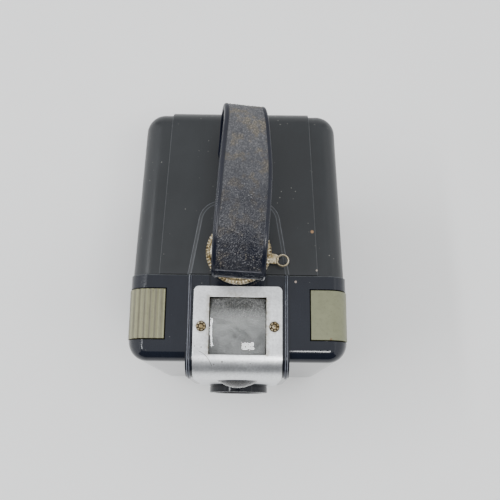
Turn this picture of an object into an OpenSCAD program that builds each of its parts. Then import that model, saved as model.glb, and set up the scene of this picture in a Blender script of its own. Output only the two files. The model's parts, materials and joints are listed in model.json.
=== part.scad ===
// Roll-film box camera with a moulded two-part body, a reflecting finder and a strap handle.
// Origin: middle of the underside. +Z is up, the lens looks along -Y, +X is the time-lever side.

/* [Body] */
// Width of the front shell, side to side
body_w = 90; // [86:0.5:96]
// Depth of the two closed shells, front face to rear face
body_d = 110; // [108:0.5:116]
// Height of the body's flat top above the surface that it stands on
body_h = 114; // [112:0.5:120]
// Depth of the front shell, from the front face to the parting line
front_d = 35; // [33:0.5:37]
// Width of the back shell at the parting line
back_w = 88.8; // [86:0.2:90]
// Width of the back shell at the rear face
back_rear_w = 83.4; // [80:0.2:88]
// Radius of the rounded outer edges
edge_r = 8.5; // [6:0.5:9]
// Thickness of the moulded walls
wall = 2.6; // [2.2:0.1:3]

/* [Centre panel and boss] */
// Half width of the raised panel on the back shell, at the parting line
panel_half = 32.6; // [30:0.2:36]
// Half width of that panel at the rear face
panel_rear_half = 29.4; // [27:0.2:32]
// How far the panel stands proud
panel_h = 0.9; // [0.6:0.1:1.2]
// Half width of the centre boss on the front shell
boss_half = 20.9; // [20:0.1:22]
// How far the boss stands in front of the front face
boss_d = 6; // [5:0.1:7]
// Width of the thin ridge along each edge of the boss
ridge_w = 1.4; // [1:0.1:2]
// Height of the ridges above the flat top
ridge_h = 1.2; // [0.8:0.1:1.6]

/* [Faceplate and finder] */
// Half width of the bent aluminium faceplate
plate_half = 18; // [17:0.1:19]
// Thickness of the faceplate
plate_t = 0.7; // [0.5:0.1:1]
// Side of the square finder window
window_w = 23.2; // [20:0.2:25]
// Distance of the window's middle behind the front face
window_q = 14.1; // [13.5:0.1:15]
// Radius of the finder's front lens where it shows
objective_r = 8.4; // [7:0.1:9]
// Height of the finder's front lens
objective_z = 94; // [92:0.5:95]

/* [Lens and shutter] */
// Height of the taking lens
lens_z = 55; // [54:0.5:57]
// Outer radius of the lens hood
hood_r = 13.9; // [13:0.1:15]
// How far the hood stands in front of the faceplate
hood_d = 3.7; // [2:0.1:6]
// Radius of the taking lens
lens_r = 6.8; // [6:0.1:8]
// Radius of the fixed aperture
stop_r = 3.2; // [2:0.1:4]

/* [Buttons] */
// Half distance between the two buttons
button_x = 29.7; // [28:0.1:31]
// Distance of the buttons' front edge behind the front face
button_q = 8.8; // [8.6:0.1:10]
// Length of the buttons, front to back
button_l = 20.2; // [18:0.1:22]
// How far the buttons reach down the side
button_drop = 13; // [11:0.5:15]
// Travel of the release button and of the time lever
button_travel = 4; // [2:0.5:4]

/* [Latch] */
// Radius of the round latch disc
disc_r = 13.5; // [12.5:0.1:13.8]
// Distance of the disc's middle behind the front face
disc_q = 44; // [43.5:0.1:45]
// Length of the latch lever, from the disc's middle to the middle of its ring
lever_l = 18.3; // [17:0.1:20]
// Angle of the lever from +X
lever_deg = -11; // [-20:1:0]

/* [Handle] */
// Width of the handle strap
strap_w = 20.5; // [18:0.1:22]
// Width of the strap at its rear end
strap_rear_w = 16.5; // [15:0.1:18]
// Thickness of the strap
strap_t = 3.4; // [3:0.1:4]
// Height of the strap's crest above the flat top
strap_rise = 34; // [30:0.5:38]

/* [Film path] */
// Side of the square picture opening
gate_w = 57; // [56:0.5:58]
// Radius of the spool flanges
flange_r = 11.2; // [11:0.1:11.5]
// Length of the spool over its flanges
spool_l = 64; // [63:0.5:65]

/* [Hidden] */
$fn = 64;

front_y = -body_d / 2;
rear_y = body_d / 2;
part_y = front_y + front_d;
part_gap = 0.2;
shell_z = panel_h;
soft_fn = 32;
back_top = body_h - 0.4;
ridge_z = body_h + ridge_h;
band_z = body_h + 0.5;
plate_top = band_z + plate_t;
boss_y = front_y - boss_d;
bend_r = 9;
window_y = front_y + window_q;
hinge_z = 2.3;
knuckle_r = 2.2;
knuckle_relief = 2.6;
hinge_half = 25;
hinge_mid = 12.4;
pin_r = 1;
run_gap = 0.06;
tongue_l = 3;
tongue_t = 1;
tongue_gap = 0.3;

button_y = front_y + button_q;
button_gap = 0.35;
button_skin = 2.6;
shield_t = 1.6;
shield_gap = 0.4;
rib_n = 6;
rib_r = 1;

disc_y = front_y + disc_q;
disc_z = body_h + 2.9;
disc_t = 1.5;
disc_top = disc_z + 2.7;
stud_r = 2.5;
stud_top = disc_top + 1.2;
catch_w = 6;
flange_t = 1;
flange_z = ridge_z + 0.6;

strap_end_z = stud_top + strap_t / 2;
strap_crest_z = body_h + strap_rise - strap_t / 2;
strap_front_y = front_y + 31.1 + strap_t / 2;
strap_back_y = front_y + 103.5 - strap_t / 2;
strap_foot_y = strap_back_y - 13;
strap_foot_z = body_h + 4.6;

cheek_x = 34.2;
cheek_t = 1;
cone_front_y = -45.5;
gate_y = 43;
supply_y = -12;
supply_z = 94.5;
takeup_y = -35.5;
takeup_z = 19;
roller_y = 39.8;
roller_upper_z = 86.8;
roller_lower_z = 23.2;
roller_r = 3.4;
core_r = 3.6;
knob_r = 10.8;
knob_out = 8;
shaft_r = 2.5;

shutter_y = front_y + wall + 0.2;
shutter_t = 1;
shutter_holes = [[-27, 40], [27, 40], [-27, 74], [27, 74]];
lever_pivot = [-16, 68];
blade_pivot = [14, 48];
pivot_r = 1.2;
link_t = 0.7;
blade_t = 0.5;
stem_x = -36.5;
stem_w = 2;
stem_drop = 5.6;

spring_x = stem_x + 2.5;
spring_y = button_y + 14.5;
spring_r = 2;
ledge_drop = 14.2;
carrier_holes = [[-40, 44], [-40, 66], [-24, 55]];
screw_r = 1.3;
screw_head_r = 2.4;
spindle_r = 2;
spindle_seat_r = 2.6;
roller_half = 31.5;
clip_x = -cheek_x - 3.2;
bush_r = 4.5;

rivet_x = 14.75;
rivet_y = window_y - 0.4;
rivet_r = 2.1;
rivet_hole_r = 1.2;
recess_x = 11.8;
recess_l = 4.2;
foot_x = 33.5;
foot_r = 3.2;
arch_r = 9;
arch_x = 8;
arch_l = 22.7;
arch_slope = 1.6;
peep_r = 5.2;
peep_glass_r = 6.8;
foot_rivet_x = 4.5;
foot_rivet_r = 1.3;

// A rod along X between two places
module x_rod(x0, x1, y, z, r) {
    translate([x0, y, z])
        rotate([0, 90, 0])
            cylinder(r = r, h = x1 - x0);
}

// A rod along Y between two places
module y_rod(y0, y1, x, z, r, r_end = -1) {
    translate([x, y0, z])
        rotate([-90, 0, 0])
            cylinder(r1 = r, r2 = r_end < 0 ? r : r_end, h = y1 - y0);
}

// A block between two corners
module block(low, high) {
    translate(low)
        cube(high - low);
}

// Profile in the YZ plane, extruded along X between two places
module x_extrude(x0, x1) {
    translate([x0, 0, 0])
        rotate([90, 0, 90])
            linear_extrude(x1 - x0)
                children();
}

// Profile in the XZ plane, extruded along Y between two places
module y_extrude(y0, y1) {
    translate([0, y1, 0])
        rotate([90, 0, 0])
            linear_extrude(y1 - y0)
                children();
}

// Front shell's form: round at the front, cut square at the parting line; inset makes the cavity
module front_form(inset, y_end) {
    r = edge_r - inset;
    hull()
        for (x = [-1, 1], z = [shell_z + edge_r, body_h - edge_r]) {
            translate([x * (body_w / 2 - edge_r), front_y + edge_r, z])
                sphere(r = r, $fn = soft_fn);
            y_rod(y_end - 0.1, y_end, x * (body_w / 2 - edge_r), z, r, $fn = soft_fn);
        }
}

// Back shell's form: cut square at the parting line, drawn in and round at the rear
module back_form(inset, y_start) {
    r = edge_r - inset;
    draft = (back_w - back_rear_w) / 2 / (body_d - front_d);
    x_start = back_w / 2 - (y_start - part_y) * draft - edge_r;
    x_rear = back_w / 2 - (rear_y - edge_r - part_y) * draft - edge_r;
    hull()
        for (x = [-1, 1], z = [shell_z + edge_r, back_top - edge_r]) {
            translate([x * x_rear, rear_y - panel_h - edge_r, z])
                sphere(r = r, $fn = soft_fn);
            y_rod(y_start, y_start + 0.1, x * x_start, z, r, $fn = soft_fn);
        }
}

// Boss profile, seen from the side: flat top, round bend, flat front
module boss_side(grow, y_end, z_low) {
    y0 = boss_y - grow;
    z1 = band_z + grow;
    r = bend_r + grow;
    translate([y0, z_low])
        square([y_end - y0, z1 - r - z_low]);
    translate([y0 + r, z_low])
        square([y_end - y0 - r, z1 - z_low]);
    translate([y0 + r, z1 - r])
        circle(r = r);
}

// Boss outline, seen from the front: straight sides and a round lower end about the lens
module boss_front(half, z_high) {
    translate([-half, lens_z])
        square([2 * half, z_high - lens_z]);
    translate([0, lens_z])
        circle(r = half);
}

// Centre boss with its two edge ridges
module boss() {
    intersection() {
        x_extrude(-boss_half, boss_half)
            boss_side(0, part_y, lens_z - boss_half);
        y_extrude(boss_y - 1, part_y)
            boss_front(boss_half, body_h + 2);
    }
    for (x = [-boss_half, boss_half - ridge_w])
        intersection() {
            x_extrude(x, x + ridge_w)
                boss_side(ridge_z - band_z, part_y, body_h - 12);
            block([x, boss_y - 2, body_h - 12], [x + ridge_w, part_y, ridge_z]);
        }
}

// Edge profile that a button follows, between two depths below the outer skin
module button_profile(outer, inner, x_in, z_low) {
    x1 = body_w / 2;
    difference() {
        union() {
            translate([x_in, z_low])
                square([x1 - edge_r - x_in, body_h + outer - z_low]);
            translate([x_in, z_low])
                square([x1 + outer - x_in, body_h - edge_r - z_low]);
            intersection() {
                translate([x1 - edge_r, body_h - edge_r])
                    circle(r = edge_r + outer);
                translate([x1 - edge_r, body_h - edge_r])
                    square(edge_r + outer);
            }
        }
        translate([x_in - 1, z_low - 1])
            square([x1 - edge_r - x_in + 1, body_h - inner - z_low + 1]);
        translate([x_in - 1, z_low - 1])
            square([x1 - inner - x_in + 1, body_h - edge_r - z_low + 1]);
        translate([x1 - edge_r, body_h - edge_r])
            circle(r = edge_r - inner);
    }
}

// Opening in the shell for the button on one side
module button_opening(side, travel_down) {
    z0 = body_h - button_drop - button_gap - travel_down;
    x0 = button_x - button_gap;
    y0 = button_y - button_gap;
    mirror([side < 0 ? 1 : 0, 0, 0])
        block([x0, y0, z0], [body_w / 2 + 1, y0 + button_l + 2 * button_gap, body_h + 2]);
}

module front_shell() {
    color([0.2, 0.21, 0.25])
    difference() {
        union() {
            difference() {
                union() {
                    front_form(0, part_y);
                    boss();
                }
                front_form(wall, part_y + 1);
                // Pocket behind the boss
                intersection() {
                    x_extrude(wall - boss_half, boss_half - wall)
                        boss_side(-wall, front_y + wall + 8, lens_z - boss_half + wall);
                    y_extrude(boss_y, front_y + wall + 8)
                        boss_front(boss_half - wall, body_h + 2);
                }
            }
            tongue();
            base_pads(-1);
            for (x = [-1, 1])
                hinge_lug(x * (hinge_half + hinge_mid + 0.4) / 2, hinge_half - hinge_mid - 0.4);
        }
        // Latch recess at the rear edge of the band
        block([-recess_x, part_y - recess_l, body_h - 0.4], [recess_x, part_y + 1, ridge_z + 1]);
        // Finder window and front lens
        block([-window_w / 2 - 0.3, window_y - window_w / 2 - 0.3, body_h - wall - 4],
              [window_w / 2 + 0.3, window_y + window_w / 2 + 0.3, body_h + 4]);
        y_rod(boss_y - 1, boss_y + wall + 2, 0, objective_z, objective_r + 0.2);
        // Taking lens
        y_rod(boss_y - 1, boss_y + wall + 2, 0, lens_z, hood_r - 3);
        button_opening(-1, button_travel);
        button_opening(1, 0);
        // Winding bush
        x_rod(-body_w / 2 - 1, -body_w / 2 + wall + 1, takeup_y, takeup_z, bush_r);
        // Room for the back shell's knuckle, and a rebate that its lower edge swings through
        hinge_relief([[-hinge_mid - 0.2, hinge_mid + 0.2]]);
        for (x = [-body_w / 2 - 1, hinge_half + 0.1])
            block([x, part_y - 1.8, -1], [x + body_w / 2 - hinge_half + 0.9, part_y + 1, hinge_z + 0.3]);
        x_rod(-hinge_half - 1, hinge_half + 1, part_y, hinge_z, pin_r);
    }
}

// Tongue that the back shell closes over, along the top and the sides
module tongue() {
    z0 = 12;
    z1 = back_top - wall - tongue_gap;
    x1 = back_w / 2 - wall - tongue_gap - 0.15;
    y0 = part_y - 4;
    y1 = part_y + tongue_l;
    r = edge_r - wall - tongue_gap;
    difference() {
        intersection() {
            union() {
                y_extrude(y0, y1)
                    rounded_square(x1, z0 - 20, z1, r);
                // Root of the tongue, against the shell's wall
                y_extrude(y0, part_y - 0.6)
                    rounded_square(body_w / 2 - wall + 0.3, z0 - 20, body_h - wall + 0.3, r);
            }
            block([-body_w / 2, y0, z0], [body_w / 2, y1, body_h]);
        }
        y_extrude(y0 - 1, y1 + 1)
            rounded_square(x1 - tongue_t, z0 - 21, z1 - tongue_t, r - tongue_t);
        // Clear of the latch disc's stud
        block([-6, part_y + 1, z1 - 6], [6, y1 + 1, z1 + 1]);
    }
}

// Upright square outline with round corners, in X and Z
module rounded_square(x1, z0, z1, r) {
    translate([-x1, z0 + r])
        square([2 * x1, z1 - z0 - 2 * r]);
    translate([-x1 + r, z0])
        square([2 * (x1 - r), z1 - z0]);
    for (x = [-1, 1], z = [z0 + r, z1 - r])
        translate([x * (x1 - r), z])
            circle(r = r);
}

// Feet at the corners of one shell's underside: side is -1 for the front shell, 1 for the back
module base_pads(side) {
    y_mid = side < 0 ? front_y + 9 : rear_y - 12;
    for (x = [-1, 1])
        translate([x * foot_x, y_mid, 0])
            cylinder(r = foot_r, h = shell_z + 1);
    if (side < 0)
        block([-26, front_y + 12, 0], [26, part_y - 5, shell_z + 0.5]);
}

module hinge_lug(x_mid, length) {
    x_rod(x_mid - length / 2, x_mid + length / 2, part_y, hinge_z, knuckle_r);
}

// Clears the stretches of the hinge line that belong to the other shell
module hinge_relief(stretches) {
    for (s = stretches)
        x_rod(s[0], s[1], part_y, hinge_z, knuckle_relief);
}

module faceplate() {
    color([0.8, 0.82, 0.83])
    difference() {
        intersection() {
            x_extrude(-plate_half, plate_half)
                difference() {
                    boss_side(plate_t, front_y + 30.2, lens_z - plate_half);
                    boss_side(0, front_y + 31, lens_z - plate_half - 1);
                }
            y_extrude(boss_y - 2, front_y + 31)
                boss_front(plate_half, body_h + 4);
            linear_extrude(body_h + 4)
                plate_top_outline();
        }
        block([-window_w / 2, window_y - window_w / 2, body_h - 4],
              [window_w / 2, window_y + window_w / 2, body_h + 4]);
        y_rod(boss_y - 2, boss_y + 1, 0, objective_z, objective_r + 0.1);
        y_rod(boss_y - 2, boss_y + 1, 0, lens_z, hood_r);
        for (x = [-1, 1])
            translate([x * rivet_x, rivet_y, band_z - 1])
                cylinder(r = rivet_hole_r, h = 4);
    }
}

// Faceplate seen from above, with small round rear corners
module plate_top_outline() {
    r = 2;
    y1 = front_y + 30.2;
    translate([-plate_half, boss_y - 2])
        square([2 * plate_half, y1 - r - boss_y + 2]);
    translate([-plate_half + r, boss_y - 2])
        square([2 * (plate_half - r), y1 - boss_y + 2]);
    for (x = [-1, 1])
        translate([x * (plate_half - r), y1 - r])
            circle(r = r);
}

module faceplate_rivets() {
    color([0.7, 0.58, 0.3])
    for (x = [-1, 1])
        translate([x * rivet_x, rivet_y, 0]) {
            translate([0, 0, plate_top])
                intersection() {
                    cylinder(r = rivet_r, h = 0.7);
                    translate([0, 0, -4.2])
                        sphere(r = 4.9);
                }
            translate([0, 0, band_z])
                cylinder(r = rivet_hole_r, h = plate_t + 0.01);
        }
}

module finder_eye_lens() {
    dome_r = 55;
    color([0.6, 0.63, 0.64, 0.5]) {
        intersection() {
            block([-window_w / 2 + 0.15, window_y - window_w / 2 + 0.15, body_h - 3.4],
                  [window_w / 2 - 0.15, window_y + window_w / 2 - 0.15, body_h + 4]);
            translate([0, window_y, plate_top + 0.9 - dome_r])
                sphere(r = dome_r, $fn = 128);
        }
        block([-window_w / 2 - 1.5, window_y - window_w / 2 - 1.2, body_h - 4.6],
              [window_w / 2 + 1.5, window_y + window_w / 2 + 1.2, body_h - 3.4]);
    }
}

module finder_objective_lens() {
    bulge_r = 13.8;
    seat_y = boss_y + wall;
    color([0.75, 0.8, 0.82, 0.5]) {
        intersection() {
            y_rod(boss_y - 6, seat_y, 0, objective_z, objective_r);
            translate([0, boss_y - plate_t - 2.9 + bulge_r, objective_z])
                sphere(r = bulge_r, $fn = 128);
        }
        y_rod(seat_y, seat_y + 1, 0, objective_z, objective_r + 1.2);
    }
}

// Finder box: open at the front and the top, closed behind by the sloping mirror
module finder_housing() {
    x1 = window_w / 2 + 2.2;
    y0 = boss_y + wall + 1.2;
    y1 = window_y + window_w / 2 + 2.2;
    z1 = body_h - 4.7;
    z0 = objective_z - 11;
    t = 0.7;
    color([0.45, 0.45, 0.44])
    difference() {
        x_extrude(-x1, x1)
            polygon([[y0, z1], [y0, z0], [y0 + 6, z0], [y1, z0 + y1 - y0 - 6], [y1, z1]]);
        x_extrude(-x1 + t, x1 - t)
            polygon([[y0 + t, z1 + 1], [y0 + t, z0 + t], [y0 + 6 - t * 0.4, z0 + t],
                     [y1 - t, z0 + y1 - y0 - 6 + t * 0.4], [y1 - t, z1 + 1]]);
        y_rod(y0 - 1, y0 + 2, 0, objective_z, objective_r + 0.6);
    }
}

module finder_mirror() {
    half = 12.2;
    length = 27;
    slope_y = window_y + 2.4;
    color([0.8, 0.85, 0.86])
    translate([0, slope_y, objective_z])
        rotate([45, 0, 0])
            translate([-half, -length / 2, -0.6])
                cube([2 * half, length, 1.2]);
}

module lens_hood() {
    y1 = boss_y - plate_t;
    y0 = y1 - hood_d;
    color([0.1, 0.1, 0.11])
    difference() {
        union() {
            y_rod(y0, y1, 0, lens_z, hood_r - 0.1);
            y_rod(y1, boss_y, 0, lens_z, hood_r - 0.6);
            y_rod(boss_y, boss_y + wall + 1.4, 0, lens_z, hood_r - 3.1);
        }
        y_rod(y0 - 0.01, boss_y + 1.2, 0, lens_z, hood_r - 2.2, lens_r + 0.6);
        y_rod(boss_y + 1, boss_y + wall + 2, 0, lens_z, lens_r + 0.05);
        y_rod(boss_y + wall - 0.2, boss_y + wall + 2, 0, lens_z, lens_r + 1.2);
    }
}

module taking_lens() {
    y0 = boss_y + 1.3;
    front_curve = 22;
    rear_curve = 30;
    color([0.7, 0.78, 0.85, 0.5])
    difference() {
        intersection() {
            y_rod(y0, y0 + 2, 0, lens_z, lens_r);
            translate([0, y0 + front_curve, lens_z])
                sphere(r = front_curve, $fn = 96);
        }
        translate([0, y0 + rear_curve + 1.2, lens_z])
            sphere(r = rear_curve, $fn = 96);
    }
}

module lens_retainer() {
    y0 = boss_y + wall - 0.1;
    color([0.3, 0.3, 0.3])
    difference() {
        y_rod(y0 + 0.8, y0 + 1.5, 0, lens_z, lens_r + 1.1);
        y_rod(y0, y0 + 2, 0, lens_z, lens_r - 1.4);
    }
}

module shutter_plate() {
    half = 31;
    color([0.55, 0.55, 0.53])
    difference() {
        block([-half, shutter_y, 36], [half, shutter_y + shutter_t, 78]);
        y_rod(shutter_y - 1, shutter_y + 2, 0, lens_z, stop_r);
        for (p = shutter_holes)
            y_rod(shutter_y - 1, shutter_y + 2, p[0], p[1], 1.2);
        for (p = [lever_pivot, blade_pivot])
            y_rod(shutter_y - 1, shutter_y + 2, p[0], p[1], pivot_r);
    }
}

module shutter_screws() {
    color([0.6, 0.58, 0.5])
    for (p = shutter_holes)
        difference() {
            union() {
                y_rod(shutter_y, shutter_y + shutter_t, p[0], p[1], 1.2);
                y_rod(shutter_y + shutter_t, shutter_y + shutter_t + 1, p[0], p[1], 2.2);
            }
            translate([p[0] - 3, shutter_y + shutter_t + 0.5, p[1] - 0.3])
                cube([6, 1, 0.6]);
        }
}

module shutter_pivots() {
    color([0.7, 0.65, 0.5])
    for (p = [lever_pivot, blade_pivot]) {
        y_rod(shutter_y, shutter_y + shutter_t + 2.6, p[0], p[1], pivot_r);
        y_rod(shutter_y + shutter_t + 2.6, shutter_y + shutter_t + 3.2, p[0], p[1], 2);
    }
}

// Flat bar between two points of the XZ plane, with round ends
module link_bar(a, b, half_w, y0, y1) {
    length = norm(b - a);
    angle = atan2(b[1] - a[1], b[0] - a[0]);
    translate([a[0], 0, a[1]])
        rotate([0, -angle, 0]) {
            y_rod(y0, y1, 0, 0, half_w);
            y_rod(y0, y1, length, 0, half_w);
            translate([0, y0, -half_w])
                cube([length, y1 - y0, 2 * half_w]);
        }
}

module shutter_lever() {
    y0 = shutter_y + shutter_t + 1.6;
    color([0.65, 0.63, 0.58])
    difference() {
        union() {
            link_bar(lever_pivot, [stem_x + 0.5, lever_pivot[1] + 1.5], 2, y0, y0 + link_t);
            link_bar(lever_pivot, [-3, 63], 1.6, y0, y0 + link_t);
        }
        y_rod(y0 - 1, y0 + 2, lever_pivot[0], lever_pivot[1], pivot_r + run_gap);
    }
}

module shutter_blade() {
    y0 = shutter_y + shutter_t + 0.4;
    color([0.2, 0.2, 0.2])
    difference() {
        union() {
            y_rod(y0, y0 + blade_t, 0, lens_z, 6);
            link_bar(blade_pivot, [0, lens_z], 3, y0, y0 + blade_t);
        }
        y_rod(y0 - 1, y0 + 2, blade_pivot[0], blade_pivot[1], pivot_r + run_gap);
    }
}

// Hairpin spring beside the blade's pivot
module shutter_spring() {
    y0 = shutter_y + shutter_t;
    color([0.6, 0.6, 0.6]) {
        translate([blade_pivot[0], y0 + 1.9, blade_pivot[1]])
            rotate([90, 0, 0])
                rotate_extrude()
                    translate([2.1, 0])
                        circle(r = 0.3);
        y_rod(y0, y0 + 2.2, blade_pivot[0] + 8, blade_pivot[1] - 6, 0.6);
        translate([blade_pivot[0] + 2.1, y0 + 1.9, blade_pivot[1]])
            rotate([0, 45, 0])
                cylinder(r = 0.3, h = 8.2);
    }
}

module button(side, ribbed) {
    z_low = body_h - button_drop;
    x_edge = body_w / 2;
    mirror([side < 0 ? 1 : 0, 0, 0]) {
        y_extrude(button_y, button_y + button_l)
            button_profile(0.3, button_skin, button_x, z_low);
        // Shield behind the opening, clear of the shell's wall below the button
        block([x_edge - button_skin - shield_t, button_y, z_low - button_travel - 2],
              [x_edge - button_skin - shield_gap, button_y + button_l, body_h - edge_r]);
        block([x_edge - button_skin - shield_t / 2, button_y, z_low],
              [x_edge - button_skin + shield_gap, button_y + button_l, body_h - edge_r]);
        if (ribbed)
            for (i = [0 : rib_n - 1]) {
                x = button_x + 1.4 + i * (x_edge - edge_r - button_x + 3.4) / (rib_n - 1);
                drop = x > x_edge - edge_r ? edge_r - sqrt(edge_r ^ 2 - (x - x_edge + edge_r) ^ 2) : 0;
                y_rod(button_y, button_y + button_l, x, body_h - drop - 0.35, rib_r);
            }
    }
}

module release_button() {
    color([0.66, 0.63, 0.52])
        button(-1, true);
}

module time_lever() {
    color([0.6, 0.59, 0.5])
        button(1, false);
}

// Strip that carries a button's movement down to the shutter
module button_stem(side, z_low) {
    x0 = -stem_x - 1;
    y0 = front_y + wall + 2.5;
    z1 = body_h - button_skin;
    mirror([side < 0 ? 1 : 0, 0, 0]) {
        block([x0, button_y + 1, z1 - stem_drop], [x0 + stem_w, button_y + 9, z1]);
        block([x0, y0, z1 - stem_drop - 3], [x0 + stem_w, button_y + 9, z1 - stem_drop]);
        block([x0, y0, z_low], [x0 + stem_w, y0 + stem_w, z1 - stem_drop - 3]);
    }
}

module release_stem() {
    color([0.6, 0.6, 0.58])
        button_stem(-1, lever_pivot[1] + 4.2);
}

module time_stem() {
    color([0.6, 0.6, 0.58])
        button_stem(1, 84);
}

// Coil under the release button, standing on the ledge of the carrier
module release_spring() {
    turns = 5;
    z0 = body_h - ledge_drop;
    z1 = body_h - button_skin;
    wire_r = 0.4;
    pitch = (z1 - z0 - 2 * wire_r) / turns;
    color([0.6, 0.6, 0.6])
    for (i = [0 : turns])
        translate([spring_x, spring_y, z0 + wire_r + i * pitch])
            rotate_extrude()
                translate([spring_r, 0])
                    circle(r = wire_r);
}

// Light box: film cone, gate frame, cheeks for the spools and rollers
module film_carrier() {
    front_half = 11;
    t = 1.2;
    color([0.25, 0.25, 0.26])
    difference() {
        union() {
            difference() {
                union() {
                    cone_form(front_half + t, gate_w / 2 + t);
                    block([-cheek_x, gate_y - 1.2, lens_z - 33.5], [cheek_x, gate_y, lens_z + 33.5]);
                    block([-cheek_x, cone_front_y, lens_z - 19], [cheek_x, cone_front_y + t, lens_z + 19]);
                }
                cone_form(front_half, gate_w / 2, 0.1);
                for (z = [roller_upper_z, roller_lower_z])
                    block([-cheek_x + 1, roller_y - 6, z - 4.6], [cheek_x - 1, gate_y + 1, z + 4.6]);
            }
            for (x = [-cheek_x - cheek_t, cheek_x])
                x_extrude(x, x + cheek_t)
                    cheek_outline();
            spring_ledge();
        }
        for (z = [roller_upper_z, roller_lower_z])
            x_rod(-cheek_x - 2, cheek_x + 2, roller_y, z, pin_r);
        x_rod(-cheek_x - 2, cheek_x + 2, supply_y, supply_z, spindle_seat_r);
        x_rod(-cheek_x - 2, 0, takeup_y, takeup_z, 5.5);
        x_rod(0, cheek_x + 2, takeup_y, takeup_z, spindle_seat_r);
        for (p = carrier_holes)
            x_rod(-cheek_x - 2, cheek_x + 2, p[0], p[1], screw_r);
    }
}

// Square cone from the shutter to the picture gate
module cone_form(front_half, rear_half, over = 0) {
    hull() {
        block([-front_half, cone_front_y - over, lens_z - front_half],
              [front_half, cone_front_y + 0.01, lens_z + front_half]);
        block([-rear_half, gate_y - 0.01, lens_z - rear_half],
              [rear_half, gate_y + over, lens_z + rear_half]);
    }
}

// Cheek seen from the side
module cheek_outline() {
    polygon([[cone_front_y, 34], [cone_front_y, 76], [supply_y - 13, 84], [supply_y - 8, 105],
             [supply_y + 8, 105], [supply_y + 13, 93], [roller_y - 8, 91], [gate_y, 91],
             [gate_y, 19], [roller_y - 8, 19], [takeup_y + 14, 12], [takeup_y + 5, 7.6],
             [takeup_y - 5, 7.6], [takeup_y - 8.5, 12]]);
}

// Ledge that the release spring stands on
module spring_ledge() {
    block([spring_x - 3.5, spring_y - 3.5, body_h - ledge_drop - 1],
          [spring_x + 3.5, spring_y + 3.5, body_h - ledge_drop]);
    block([-cheek_x - cheek_t, spring_y - 3.5, 76], [-cheek_x, spring_y + 3.5, body_h - ledge_drop]);
}

module carrier_screws() {
    color([0.6, 0.58, 0.5])
    for (s = [-1, 1], p = carrier_holes)
        mirror([s < 0 ? 1 : 0, 0, 0]) {
            x_rod(cheek_x, cheek_x + cheek_t, p[0], p[1], screw_r);
            x_rod(cheek_x + cheek_t, cheek_x + cheek_t + 1, p[0], p[1], screw_head_r);
        }
}

module roller_pins() {
    color([0.7, 0.7, 0.68])
    for (z = [roller_upper_z, roller_lower_z])
        x_rod(-cheek_x - cheek_t - 0.4, cheek_x + cheek_t + 0.4, roller_y, z, pin_r);
}

module film_roller(z) {
    color([0.72, 0.72, 0.7])
    difference() {
        union() {
            x_rod(-roller_half, roller_half, roller_y, z, roller_r - 0.4);
            for (x = [-roller_half, roller_half - 2])
                x_rod(x, x + 2, roller_y, z, roller_r);
        }
        x_rod(-33, 33, roller_y, z, pin_r + run_gap);
    }
}

module film_roller_upper() {
    film_roller(roller_upper_z);
}

module film_roller_lower() {
    film_roller(roller_lower_z);
}

module supply_spindles() {
    color([0.7, 0.65, 0.5])
    for (s = [-1, 1])
        mirror([s < 0 ? 1 : 0, 0, 0]) {
            x_rod(cheek_x, cheek_x + cheek_t, supply_y, supply_z, spindle_seat_r);
            x_rod(cheek_x - 4.4, cheek_x, supply_y, supply_z, spindle_r);
        }
}

// Leaf spring outside one cheek
module leaf_spring(y, z, side) {
    mirror([side < 0 ? 1 : 0, 0, 0])
        difference() {
            block([cheek_x + cheek_t, y - 4, z - 6], [cheek_x + cheek_t + 0.6, y + 20, z + 6]);
            x_rod(cheek_x, cheek_x + 3, y + 15, z, screw_r);
        }
}

module supply_spring() {
    color([0.68, 0.66, 0.6])
        leaf_spring(supply_y - 2, supply_z - 2, 1);
}

module takeup_spring() {
    color([0.68, 0.66, 0.6])
        leaf_spring(takeup_y, takeup_z, 1);
}

module takeup_spindle() {
    color([0.7, 0.65, 0.5]) {
        x_rod(cheek_x, cheek_x + cheek_t, takeup_y, takeup_z, spindle_seat_r);
        x_rod(spool_l / 2 - 3, cheek_x, takeup_y, takeup_z, spindle_r);
    }
}

// Empty metal spool, with a key slot at one end and a round socket at the other
module takeup_spool() {
    half = spool_l / 2;
    flange_w = 0.9;
    color([0.35, 0.35, 0.36])
    difference() {
        union() {
            x_rod(-half, half, takeup_y, takeup_z, core_r);
            x_rod(-half, -half + flange_w, takeup_y, takeup_z, flange_r);
            x_rod(half - flange_w, half, takeup_y, takeup_z, flange_r);
        }
        x_rod(half - 4, half + 1, takeup_y, takeup_z, spindle_r + run_gap);
        x_rod(-half - 1, -half + 4.6, takeup_y, takeup_z, 1.6);
        block([-half - 1, takeup_y - 3, takeup_z - 0.7], [-half + 4.6, takeup_y + 3, takeup_z + 0.7]);
        block([-20, takeup_y - 0.7, takeup_z - 4], [20, takeup_y + 0.7, takeup_z + 4]);
    }
}

module winding_bush() {
    x0 = -body_w / 2;
    color([0.72, 0.6, 0.32])
    difference() {
        union() {
            x_rod(x0 - 0.8, x0, takeup_y, takeup_z, 6.5);
            x_rod(x0, x0 + wall, takeup_y, takeup_z, bush_r);
        }
        x_rod(x0 - 2, x0 + wall + 1, takeup_y, takeup_z, shaft_r + run_gap);
    }
}

module winder_clip() {
    color([0.6, 0.6, 0.6])
    difference() {
        x_rod(clip_x - 0.8, clip_x, takeup_y, takeup_z, 4.4);
        x_rod(clip_x - 2, clip_x + 1, takeup_y, takeup_z, shaft_r - 0.5 + run_gap);
    }
}

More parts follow.
